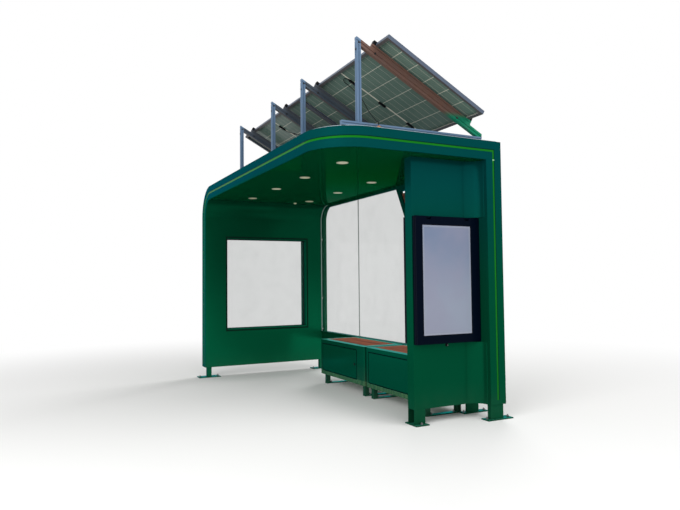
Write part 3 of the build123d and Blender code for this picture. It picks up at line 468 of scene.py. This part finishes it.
SPECIAL_LOOKS = {
    "window_pane": toughened_glass("window_glass", "X"),
    "light_box_lock": plain_plastic("lock_face", (0.010, 0.010, 0.011), 0.40, level=0.10),
    "inner_screen": pale_screen("inner_screen_face", "inner_screen"),
    "far_bench_door": enamel("far_door_paint", BENCH_GREEN, BENCH_GREEN, 0.12, door="far_bench_door"),
    "near_bench_door": enamel("near_door_paint", BENCH_GREEN, BENCH_GREEN, 0.12, door="near_bench_door"),
    # The beams and rails are a darker copy of the aluminium: painted shade
    "support_beams": extruded_aluminium("beam_aluminium", (0.050, 0.066, 0.088), (0.075, 0.092, 0.115),
                                        reflects_ground=True),
    "mounting_rails": extruded_aluminium("rail_aluminium", (0.060, 0.072, 0.088), (0.090, 0.100, 0.115),
                                         reflects_ground=True),
    "far_panel_frame": extruded_aluminium("frame_aluminium", (0.070, 0.090, 0.130),
                                          (0.100, 0.125, 0.170)),
}
SPECIAL_LOOKS["near_panel_frame"] = SPECIAL_LOOKS["far_panel_frame"]
for node, look in SPECIAL_LOOKS.items():
    frame["nodes"][node].data.materials[0] = look

SHARP_EDGE = math.radians(35)

# Directions of a shape's own x, y and z
UPWARDS = ((1, 0, 0), (0, 1, 0), (0, 0, 1))
DOWNWARDS = ((1, 0, 0), (0, -1, 0), (0, 0, -1))
TO_NEAR = ((0, 1, 0), (0, 0, 1), (1, 0, 0))
TO_FAR = ((0, -1, 0), (0, 0, 1), (-1, 0, 0))
TO_FRONT = ((1, 0, 0), (0, 0, 1), (0, -1, 0))
ALONG = np.array([1.0, 0.0, 0.0])
DOWN_SLOPE = np.array([0.0, math.cos(TILT), -math.sin(TILT)])
OUT_OF_SLOPE = np.array([0.0, math.sin(TILT), math.cos(TILT)])
OFF_SLOPE = (ALONG, DOWN_SLOPE, OUT_OF_SLOPE)
UP_SLOPE = (ALONG, OUT_OF_SLOPE, -DOWN_SLOPE)
ALONG_SLOPE = (ALONG, -OUT_OF_SLOPE, DOWN_SLOPE)


def on_slope(x, down, out):
    """Point of the array: its place along the roof, down the slope and out of the panels' face."""
    return ARRAY_HIGH + x * ALONG + down * DOWN_SLOPE + out * OUT_OF_SLOPE


def ring_faces(rows, columns, closed):
    """Quads between rings of points, and from the last ring to the first where the stack is closed.
    They face outwards where each ring runs anticlockwise about the way the stack grows."""
    here = np.arange(rows if closed else rows - 1)[:, None] * columns
    ahead = (here + columns) % (rows * columns)
    column = np.arange(columns)[None, :]
    beside = (column + 1) % columns
    return np.stack([here + column, here + beside, ahead + beside, ahead + column], axis=-1).reshape(-1, 4)


def stacked(rings, closed=False):
    """Shape of a stack of rings: its points and arrays of faces, with flat caps unless it closes."""
    rows, columns = rings.shape[:2]
    faces = [ring_faces(rows, columns, closed)]
    if not closed:
        cap = np.arange(columns)[None, :]
        faces += [cap[:, ::-1], cap + (rows - 1) * columns]
    return rings.reshape(-1, 3), faces


def turned(profile, sides, closed=False):
    """Solid of revolution about z: ring i is (r cos a, r sin a, h), with r and h from the profile and
    a evenly spaced. A closed profile runs up its outside and down its inside."""
    radius, height = np.array(profile).T
    angle = np.arange(sides) * 2 * math.pi / sides
    return stacked(np.stack([np.outer(radius, np.cos(angle)), np.outer(radius, np.sin(angle)),
                             np.repeat(height[:, None], sides, axis=1)], axis=-1), closed)


def mitred(low, high, profile):
    """Frame round a rectangle with mitred corners: a point of the closed profile, some way outside
    the rectangle at some height, moves each corner out along its diagonal."""
    corner = np.array([(low[0], low[1]), (high[0], low[1]), (high[0], high[1]), (low[0], high[1])])
    outwards = np.array([(-1, -1), (1, -1), (1, 1), (-1, 1)])
    reach, height = np.array(profile).T
    flat = corner[None] + reach[:, None, None] * outwards[None]
    level = np.repeat(height[:, None, None], 4, axis=1)
    return stacked(np.concatenate([flat, level], axis=-1), closed=True)


def carried(path, across, upward, section):
    """Section carried along a path: ring i is the path's point i plus the section's points, laid on
    the two directions there."""
    side, rise = np.array(section).T
    return stacked(path[:, None] + side[None, :, None] * across[:, None]
                   + rise[None, :, None] * upward[:, None])


def straight(start, end, section):
    """Section carried up from one point to another, laid on x and y."""
    steady = np.ones((2, 1))
    return carried(np.array([start, end]), steady * (1, 0, 0), steady * (0, 1, 0), section)


def placed(shape, places, axes=UPWARDS):
    """Copies of a shape: its point (x, y, z) goes to place + x a + y b + z c, with the axes a, b, c."""
    points, faces = shape
    places = np.array(places, float).reshape(-1, 1, 3)
    moved = points[None] @ np.array(axes, float) + places
    shift = np.arange(len(places))[:, None, None] * len(points)
    return moved.reshape(-1, 3), [(some[None] + shift).reshape(-1, some.shape[1]) for some in faces]


def joined(*shapes):
    """One shape of several."""
    starts = np.cumsum([0] + [len(points) for points, faces in shapes])
    return (np.concatenate([points for points, faces in shapes]),
            [some + start for (points, faces), start in zip(shapes, starts) for some in faces])


def piece(name, shape, slot, body="shelter", look=None):
    """Object of a shape, smooth up to its sharp edges, finished as its slot and carried by a body."""
    points, faces = shape
    mesh = bpy.data.meshes.new(name)
    mesh.from_pydata(points.tolist(), [], [face for some in faces for face in some.tolist()])
    mesh.materials.append(look or LOOKS[slot])
    mesh.polygons.foreach_set("use_smooth", np.ones(len(mesh.polygons), bool))
    mesh.set_sharp_from_angle(angle=SHARP_EDGE)
    made = bpy.data.objects.new(name, mesh)
    scene.collection.objects.link(made)
    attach(made, body)
    return made


# Leads: listed routes from box to gland and from box to box
NEAR_ROUTE = [(1.1075, -0.2452, 3.2605), (1.1075, -0.2699, 3.2737),
              (1.0885, -0.289, 3.282), (1.061, -0.2895, 3.280), (1.0415, -0.2745, 3.268),
              (1.0415, -0.254, 3.2495), (1.0555, -0.236, 3.233), (1.083, -0.235, 3.2115),
              (1.1195, -0.234, 3.1865), (1.167, -0.232, 3.151), (1.227, -0.230, 3.1025),
              (1.2935, -0.232, 3.0465), (1.358, -0.238, 2.989), (1.422, -0.248, 2.931),
              (1.486, -0.262, 2.875), (1.553, -0.279, 2.823), (1.623, -0.298, 2.776),
              (1.695, -0.320, 2.7335), (1.757, -0.341, 2.702), (1.804, -0.358, 2.6755),
              (1.840, -0.3705, 2.658), (1.873, -0.3775, 2.648), (1.886, -0.380, 2.631),
              (1.886, -0.380, 2.610)]
FAR_ROUTE = [(-0.8155, -0.1693, 3.2202), (-0.8155, -0.1445, 3.207),
             (-0.796, -0.124, 3.1935), (-0.752, -0.117, 3.175), (-0.693, -0.1175, 3.154),
             (-0.613, -0.1205, 3.128), (-0.525, -0.1205, 3.1015), (-0.437, -0.1165, 3.0765),
             (-0.349, -0.1095, 3.0515), (-0.262, -0.100, 3.0255), (-0.175, -0.088, 2.998),
             (-0.089, -0.074, 2.970), (-0.003, -0.0575, 2.942), (0.082, -0.0385, 2.915),
             (0.168, -0.017, 2.889), (0.253, 0.0065, 2.8645), (0.338, 0.032, 2.8415),
             (0.423, 0.060, 2.8205), (0.507, 0.0905, 2.8015), (0.590, 0.125, 2.785),
             (0.672, 0.165, 2.771), (0.751, 0.2105, 2.760), (0.826, 0.262, 2.7515),
             (0.898, 0.318, 2.7455), (0.967, 0.378, 2.747), (1.0255, 0.432, 2.7595),
             (1.067, 0.474, 2.774), (1.0945, 0.509, 2.786), (1.105, 0.526, 2.8065),
             (1.1075, 0.529, 2.833), (1.1075, 0.5162, 2.8557), (1.1075, 0.4915, 2.8688)]


def smooth_curve(name, route):
    """Smooth curve with the route's points as its control points."""
    curve = bpy.data.curves.new(name, "CURVE")
    curve.dimensions = "3D"
    spline = curve.splines.new("NURBS")
    spline.points.add(len(route) - 1)
    spline.points.foreach_set("co", np.column_stack([route, np.ones(len(route))]).ravel())
    spline.order_u = 3
    spline.use_endpoint_u = True
    return curve


def lead(name, route):
    """Lead along a route."""
    curve = smooth_curve(name, route)
    curve.bevel_depth = LEAD_DIAMETER / 2
    curve.bevel_resolution = 3
    curve.materials.append(LOOKS["black_plastic"])
    made = bpy.data.objects.new(name, curve)
    scene.collection.objects.link(made)
    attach(made, "shelter")
    return made


def line_of(route):
    """Points of the smooth curve that a route gives, from the curve itself without its thickness."""
    curve = smooth_curve("line", route)
    line = bpy.data.objects.new("line", curve)
    mesh = bpy.data.meshes.new_from_object(line)
    points = np.zeros(len(mesh.vertices) * 3)
    mesh.vertices.foreach_get("co", points)
    bpy.data.meshes.remove(mesh)
    bpy.data.objects.remove(line)
    bpy.data.curves.remove(curve)
    return points.reshape(-1, 3)


def turn_to(direction):
    """Three square directions whose last is a given one."""
    last = direction / np.linalg.norm(direction)
    first = np.cross((0, 0, 1), last)
    first /= np.linalg.norm(first)
    return first, np.cross(last, first), last


# Plug and socket in the far lead, where it comes out from behind the panel's edge
CONNECTOR_X = -0.60
far_line = line_of(FAR_ROUTE)
spot = int(np.argmin(np.abs(far_line[:, 0] - CONNECTOR_X)))
connector_turn = turn_to(far_line[spot + 2] - far_line[spot - 2])
CONNECTOR_PROFILE = [(0.0042, -0.052), (0.0058, -0.050), (0.0072, -0.038), (0.0072, -0.030),
                     (0.0090, -0.028), (0.0090, -0.004), (0.0078, -0.002), (0.0078, 0.002),
                     (0.0094, 0.004), (0.0094, 0.026), (0.0072, 0.030), (0.0072, 0.040),
                     (0.0058, 0.050), (0.0042, 0.052)]
connector = piece("lead_connector", placed(turned(CONNECTOR_PROFILE, 20), [far_line[spot]], connector_turn),
                  "black_plastic")

# Nuts where the leads leave their boxes
NUT_PROFILE = [(0.0085, 0.0), (0.0085, 0.006), (0.0070, 0.0075), (0.0070, 0.012), (0.0048, 0.016)]
lead_nuts = joined(placed(turned(NUT_PROFILE, 12), [NEAR_ROUTE[0]], UP_SLOPE),
                   placed(turned(NUT_PROFILE, 12), [FAR_ROUTE[0], FAR_ROUTE[-1]], ALONG_SLOPE))
piece("lead_nuts", lead_nuts, "black_plastic")

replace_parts(lead("near_lead_line", NEAR_ROUTE), "near_lead")
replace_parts(lead("far_lead_line", FAR_ROUTE), "far_lead")

# Anchors in the base plates: washer, nut and the end of the stud
WASHER = [(0.0125, 0.0), (0.0125, 0.002), (0.0118, 0.0025)]
NUT = [(0.0104, 0.0025), (0.0112, 0.0035), (0.0112, 0.0115), (0.0102, 0.0128)]
STUD = [(0.0060, 0.0120), (0.0060, 0.0195), (0.0050, 0.0208)]
anchor = joined(turned(WASHER, 20), turned(NUT, 6), turned(STUD, 12))


def plate_pairs(node):
    """Anchors near both ends of a node's long plates: one plate at its rear, and one at its front where
    it reaches there."""
    low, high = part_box(node)
    reach = PLATE_LENGTH - 2 * ANCHOR_EDGE
    rows = [high.y - ANCHOR_EDGE, high.y - ANCHOR_EDGE - reach]
    if low.y < 0:
        rows += [low.y + ANCHOR_EDGE, low.y + ANCHOR_EDGE + reach]
    return [((low.x + high.x) / 2, y, PLATE_TOP) for y in rows]


anchor_places = []
for node in ("far_feet", "post_foot", "rail_foot"):
    anchor_places += plate_pairs(node)
low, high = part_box("near_foot")
foot_middle = (low.y + high.y) / 2
anchor_places += [(x, foot_middle, PLATE_TOP) for x in (low.x + ANCHOR_EDGE, high.x - ANCHOR_EDGE)]
LEG_PLATE_HALF = 0.030
LEG_ANCHOR = 0.072      # from the ends of the legs' plates
for bench_name in ("far_bench", "near_bench"):
    low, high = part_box(bench_name + "_legs")
    anchor_places += [(x, y, PLATE_TOP) for x in (low.x + LEG_PLATE_HALF, high.x - LEG_PLATE_HALF)
                      for y in (low.y + LEG_ANCHOR, high.y - LEG_ANCHOR)]
piece("anchors", placed(anchor, anchor_places), "steel")

# Downlights: a cream bezel with a lip, and a shallow domed lens inside it
LAMP_RADIUS = 0.057
LAMP_PITCH = 0.885
low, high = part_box("downlights")
first_lamp, last_lamp = low.x + LAMP_RADIUS, high.x - LAMP_RADIUS
lamp_x = (first_lamp, first_lamp + LAMP_PITCH, last_lamp - LAMP_PITCH, last_lamp)
lamp_places = [(x, y, SOFFIT) for x in lamp_x for y in (low.y + LAMP_RADIUS, high.y - LAMP_RADIUS)]
BEZEL = [(0.0570, 0.0), (0.0570, 0.0015), (0.0560, 0.0028), (0.0500, 0.0036), (0.0475, 0.0034),
         (0.0460, 0.0020), (0.0460, 0.0)]
LENS = [(0.0470, 0.0), (0.0460, 0.0006), (0.0400, 0.0016), (0.0280, 0.0026), (0.0140, 0.0032),
        (0.0040, 0.0034)]
piece("downlight_bezels", placed(turned(BEZEL, 40, closed=True), lamp_places, DOWNWARDS), "lamp",
      look=lamp_part("lamp_bezel", (0.50, 0.46, 0.34), 0.05))
lenses = piece("downlight_lenses", placed(turned(LENS, 40), lamp_places, DOWNWARDS), "lamp")
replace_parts(lenses, "downlights")

# Sensor: a small cream dome on a flange, in the downlights' finish, so that it glows a little though it is
# no lamp: painted light
low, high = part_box("sensor")
DOME = [(0.0220, 0.0), (0.0220, 0.0030), (0.0205, 0.0045), (0.0170, 0.0050), (0.0160, 0.0085),
        (0.0130, 0.0115), (0.0080, 0.0135), (0.0025, 0.0140)]
sensor_place = [((low.x + high.x) / 2, (low.y + high.y) / 2, high.z)]
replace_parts(piece("sensor_dome", placed(turned(DOME, 28), sensor_place, DOWNWARDS), "lamp"), "sensor")

# Black gaskets: round both screens of the light box and both faces of the window's pane
SCREEN_BITE = 0.006
THIN_GASKET = [(0.0, 0.0), (0.0, 0.0026), (-0.0035, 0.0026), (-0.0050, 0.0012), (-0.0050, 0.0)]
low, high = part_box("outer_screen")
outer = [(low.y + SCREEN_BITE, low.z + SCREEN_BITE), (high.y - SCREEN_BITE, high.z - SCREEN_BITE)]
screen_face = high.x
piece("outer_screen_gasket", placed(mitred(*outer, THIN_GASKET), [(screen_face, 0, 0)], TO_NEAR),
      "black_plastic", "light_box_door")
low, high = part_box("inner_screen")
piece("inner_screen_gasket", placed(mitred((-high.y, low.z), (-low.y, high.z), THIN_GASKET),
                                    [(low.x, 0, 0)], TO_FAR), "black_plastic")
LINING = 0.016
WINDOW_GASKET = [(0.0, 0.0), (0.0, 0.0085), (-0.0040, 0.0085), (-0.0075, 0.0040), (-0.0075, 0.0)]
low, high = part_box("window_lining")
sight = [(low.y + LINING, low.z + LINING), (high.y - LINING, high.z - LINING)]
low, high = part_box("window_pane")
window_gaskets = joined(
    placed(mitred(*sight, WINDOW_GASKET), [(high.x, 0, 0)], TO_NEAR),
    placed(mitred((-sight[1][0], sight[0][1]), (-sight[0][0], sight[1][1]), WINDOW_GASKET),
           [(low.x, 0, 0)], TO_FAR))
piece("window_gaskets", window_gaskets, "black_plastic")

# Dark band on the wall round the window's lining, lapping over it at the front: painted shade of the recess
SHADOW_BAND = [(0.0, 0.0), (0.018, 0.0), (0.018, 0.0010), (0.016, 0.0020), (0.002, 0.0020), (0.0, 0.0010)]
SHADOW_BAND_LAP = 0.014
low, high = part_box("window_lining")
wall_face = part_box("far_wall")[1].x
shadow_band = mitred((low.y + SHADOW_BAND_LAP, low.z), (high.y, high.z), SHADOW_BAND)
piece("window_shadow_band", placed(shadow_band, [(wall_face, 0, 0)], TO_NEAR), "black_plastic",
      look=plain_plastic("shadow_band", (0.0020, 0.012, 0.008), 0.50, level=0.05))

# Two small pads that hold the sheet near the screen's top edge
PAD = [(0.0042, 0.0), (0.0042, 0.0008), (0.0030, 0.0014)]
PAD_DROP = 0.021
FRONT_PAD_INSET = 0.074
REAR_PAD_INSET = 0.0885
pads = [(screen_face, y, outer[1][1] - PAD_DROP)
        for y in (outer[0][0] + FRONT_PAD_INSET, outer[1][0] - REAR_PAD_INSET)]
piece("screen_pads", placed(turned(PAD, 16), pads, TO_NEAR), "steel", "light_box_door")

# Lock under the light box: dark rosette and a bright plug
low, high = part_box("light_box_lock")
lock_middle = (low.y + high.y) / 2, (low.z + high.z) / 2
ROSETTE = [(0.0145, 0.0), (0.0145, 0.0025), (0.0125, 0.0045), (0.0092, 0.0045), (0.0092, 0.0)]
PLUG = [(0.0045, 0.0), (0.0045, 0.0010), (0.0036, 0.0018)]
piece("light_box_lock_rosette", placed(turned(ROSETTE, 28, closed=True), [(low.x, *lock_middle)], TO_NEAR),
      "black_plastic")
piece("light_box_lock_plug", placed(turned(PLUG, 16), [(high.x, *lock_middle)], TO_NEAR), "steel")

# Locks of the bench doors: black rosette and face with its key slot
LOCK_INSET = 0.048
FACE = [(0.0108, 0.0), (0.0108, 0.0008), (0.0098, 0.0014)]
BENCH_ROSETTE = [(0.0165, 0.0), (0.0165, 0.0018), (0.0150, 0.0032), (0.0113, 0.0032), (0.0113, 0.0)]
KEY_SLOT = [(-0.0010, -0.0040), (0.0010, -0.0040), (0.0010, 0.0040), (-0.0010, 0.0040)]
for bench_name in ("far_bench", "near_bench"):
    low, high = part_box(bench_name + "_door")
    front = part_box(bench_name + "_box")[0].y
    lock_x = high.x - LOCK_INSET
    lock_z = (low.z + high.z) / 2
    key_slot = straight((0.0, 0.0, 0.0010), (0.0, 0.0, 0.0020), KEY_SLOT)
    lock = joined(placed(turned(BENCH_ROSETTE, 28, closed=True), [(lock_x, front, lock_z)], TO_FRONT),
                  placed(joined(turned(FACE, 24), key_slot), [(lock_x, low.y, lock_z)], TO_FRONT))
    piece(bench_name + "_lock", lock, "black_plastic", bench_name + "_door")

# Sealant in the butt joint of the glass
RAIL_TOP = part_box("bottom_rail")[1].z
far_pane, near_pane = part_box("glass_pane_far"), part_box("glass_pane_near")
joint_x = (far_pane[1].x + near_pane[0].x) / 2
joint_y = (far_pane[0].y + far_pane[1].y) / 2
BEAD = [(-0.0042, -0.0056), (-0.0020, -0.0066), (0.0020, -0.0066), (0.0042, -0.0056),
        (0.0042, 0.0056), (0.0020, 0.0066), (-0.0020, 0.0066), (-0.0042, 0.0056)]
BEAD_DROP = 0.011
bead = straight((joint_x, joint_y, RAIL_TOP), (joint_x, joint_y, far_pane[1].z - BEAD_DROP), BEAD)
piece("glass_sealant", bead, "clear_glass", look=plain_plastic("sealant", (0.34, 0.38, 0.36), 0.45))

# Pale trim in front of the glass channel: up the far wall and round the bend
low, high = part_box("far_bend")
BEND_RADIUS = SOFFIT - low.z
channel_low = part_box("glass_channel")[0]
TRIM = [(0.0, 0.0), (0.014, 0.0), (0.014, 0.0020), (0.012, 0.0035), (0.0, 0.0035)]
arc = np.linspace(math.pi, math.pi / 2, 25)
trim_x = np.concatenate([[channel_low.x], high.x + BEND_RADIUS * np.cos(arc)])
trim_z = np.concatenate([[RAIL_TOP], low.z + BEND_RADIUS * np.sin(arc)])
trim_angle = np.concatenate([[math.pi], arc])
trim_path = np.stack([trim_x, np.full_like(trim_x, channel_low.y), trim_z], axis=-1)
trim_out = np.stack([-np.cos(trim_angle), np.zeros_like(trim_angle), -np.sin(trim_angle)], axis=-1)
trim_across = np.tile((0.0, -1.0, 0.0), (len(trim_path), 1))
piece("glass_trim", carried(trim_path, trim_across, trim_out, TRIM), "aluminium",
      look=painted_sheet("trim_grey", (0.30, 0.36, 0.35), 0.3, coat=0.0))

# Screws that clamp the channel, each in a black ring, with pale heads that are a painted highlight
SCREW_HEIGHTS = (0.590, 1.044, 1.912)
SCREW_INSET = 0.020
CUP = [(0.0150, 0.0), (0.0150, 0.0030), (0.0140, 0.0040), (0.0122, 0.0040), (0.0122, 0.0)]
HEAD = [(0.0120, 0.0), (0.0120, 0.0130), (0.0095, 0.0160)]
screw_places = [(channel_low.x + SCREW_INSET, channel_low.y, z) for z in SCREW_HEIGHTS]
piece("channel_screw_cups", placed(turned(CUP, 20, closed=True), screw_places, TO_FRONT), "black_plastic")
piece("channel_screws", placed(turned(HEAD, 16), screw_places, TO_FRONT),
      "steel", look=galvanised("screw_highlight", (0.55, 0.56, 0.55), (0.75, 0.76, 0.75)))

# Bolts of the panels' supports
SUPPORT_MIDDLE = 0.221
SUPPORT_REACH = (-1.620, -0.435, 0.435, 1.620)
SECTION_HALF = 0.020
STRUT_HEAD = (-0.549, 3.318)
FRONT_BOLT_DROP = 0.050
BEAM_OUT = -0.100
BEAM_BOLTS = (0.030, 1.010)
BASE_BOLTS = (-0.665, 0.080)
strut_low, strut_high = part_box("support_struts")
base_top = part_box("base_beams")[1].z
BOLT = joined(turned([(0.0100, 0.0), (0.0100, 0.0014)], 18),
              turned([(0.0080, 0.0014), (0.0080, 0.0060), (0.0068, 0.0072)], 6))
bolt_parts = []
for reach in SUPPORT_REACH:
    x = SUPPORT_MIDDLE + reach
    for side, axes in ((SECTION_HALF, TO_NEAR), (-SECTION_HALF, TO_FAR)):
        spots = [(x + side, *STRUT_HEAD)] + [on_slope(x + side, down, BEAM_OUT) for down in BEAM_BOLTS]
        bolt_parts.append(placed(BOLT, spots, axes))
    bolt_parts.append(placed(BOLT, [(x, strut_low.y, strut_high.z - FRONT_BOLT_DROP)], TO_FRONT))
    bolt_parts.append(placed(BOLT, [(x, y, base_top) for y in BASE_BOLTS]))
piece("support_bolts", joined(*bolt_parts), "steel",
      look=galvanised("dark_steel", (0.035, 0.037, 0.040), (0.075, 0.078, 0.082)))

# Screws in the end clamps, two at each
PANEL_WIDTH = 1.134
CLAMP_CAP = 0.005
CLAMP_SCREWS = (-0.021, 0.003, PANEL_WIDTH - 0.003, PANEL_WIDTH + 0.021)
KNOB = [(0.0075, 0.0), (0.0075, 0.0030), (0.0062, 0.0044)]
knobs = [on_slope(SUPPORT_MIDDLE + reach, down, CLAMP_CAP)
         for reach in SUPPORT_REACH for down in CLAMP_SCREWS]
piece("clamp_screws", placed(turned(KNOB, 16), knobs, OFF_SLOPE), "black_plastic")

# Moulded boxes: their sharp edges are eased
boxes = frame["nodes"]["junction_boxes"]
boxes.modifiers.new("merge", "WELD").merge_threshold = 0.0001
easing = boxes.modifiers.new("ease", "BEVEL")
easing.width = 0.0030
easing.segments = 3
easing.limit_method = "ANGLE"


# Where the floor turns to white, from the origin
FLOOR_FADE = (2.2, 8.0)


def floor_look():
    """Pale floor that keeps the shelter's shadow and turns to white far out."""
    look = Look("floor")
    x, y, z = look.place()
    reach = look.math("SQRT", x * x + y * y)
    pale = look.node("ShaderNodeBsdfDiffuse", values={"Color": (0.88, 0.88, 0.87, 1)})
    white = look.node("ShaderNodeEmission", values={"Color": (1, 1, 1, 1), "Strength": 1.0})
    return look.close(look.node("ShaderNodeMixShader",
                                values={0: look.ease(reach, *FLOOR_FADE), 1: pale, 2: white}))


def disc(radius, rings, spokes):
    """Flat disc: ring i is (r cos a, r sin a, 0), with r and a evenly spaced, and the last point is its
    hub."""
    span = np.linspace(0, 1, rings + 1)[1:] * radius
    angle = np.arange(spokes) * 2 * math.pi / spokes
    points = np.stack([np.outer(span, np.cos(angle)), np.outer(span, np.sin(angle)),
                       np.zeros((rings, spokes))], axis=-1).reshape(-1, 3)
    points = np.vstack([points, [0, 0, 0]])
    spoke = np.arange(spokes)
    start = np.arange(rings - 1)[:, None] * spokes + spoke[None, :]
    beside = np.arange(rings - 1)[:, None] * spokes + (spoke[None, :] + 1) % spokes
    quads = np.stack([start, start + spokes, beside + spokes, beside], axis=-1).reshape(-1, 4)
    hub = np.stack([np.full(spokes, rings * spokes), spoke, (spoke + 1) % spokes], axis=-1)
    mesh = bpy.data.meshes.new("floor")
    mesh.from_pydata(points.tolist(), [], quads.tolist() + hub.tolist())
    mesh.materials.append(floor_look())
    return mesh


floor = bpy.data.objects.new("floor", disc(radius=80.0, rings=8, spokes=48))
scene.collection.objects.link(floor)


def soft_light(name, place, aim, size, power, mirrored=False):
    """Square area lamp that faces a point, and shows in gloss only where it is told to."""
    lamp = bpy.data.lights.new(name, "AREA")
    lamp.size = size
    lamp.energy = power
    made = bpy.data.objects.new(name, lamp)
    made.location = place
    made.rotation_euler = (Vector(aim) - Vector(place)).to_track_quat("-Z", "Y").to_euler()
    made.visible_glossy = mirrored
    scene.collection.objects.link(made)


soft_light("key_light", (7.0, 1.5, 7.5), (0, 0, 1.2), 8.0, 400)
soft_light("front_light", (5.5, -7.5, 3.6), (0, 0, 1.2), 6.0, 660)
soft_light("rear_light", (-5.0, 6.0, 6.5), (0, 0, 1.5), 4.0, 320, mirrored=True)


def studio(light):
    """World of even light, which the camera, reflections and glass see as white."""
    look = Look("studio", bpy.data.worlds, "ShaderNodeOutputWorld")
    seen = look.either(*[look.node("ShaderNodeLightPath", output=ray)
                         for ray in ("Is Camera Ray", "Is Glossy Ray", "Is Transmission Ray")])
    strength = light + seen * (1 - light)
    white = look.node("ShaderNodeBackground", values={"Color": (1, 1, 1, 1), "Strength": strength})
    return look.close(white)


scene.world = studio(light=0.45)
scene.view_settings.view_transform = "Standard"
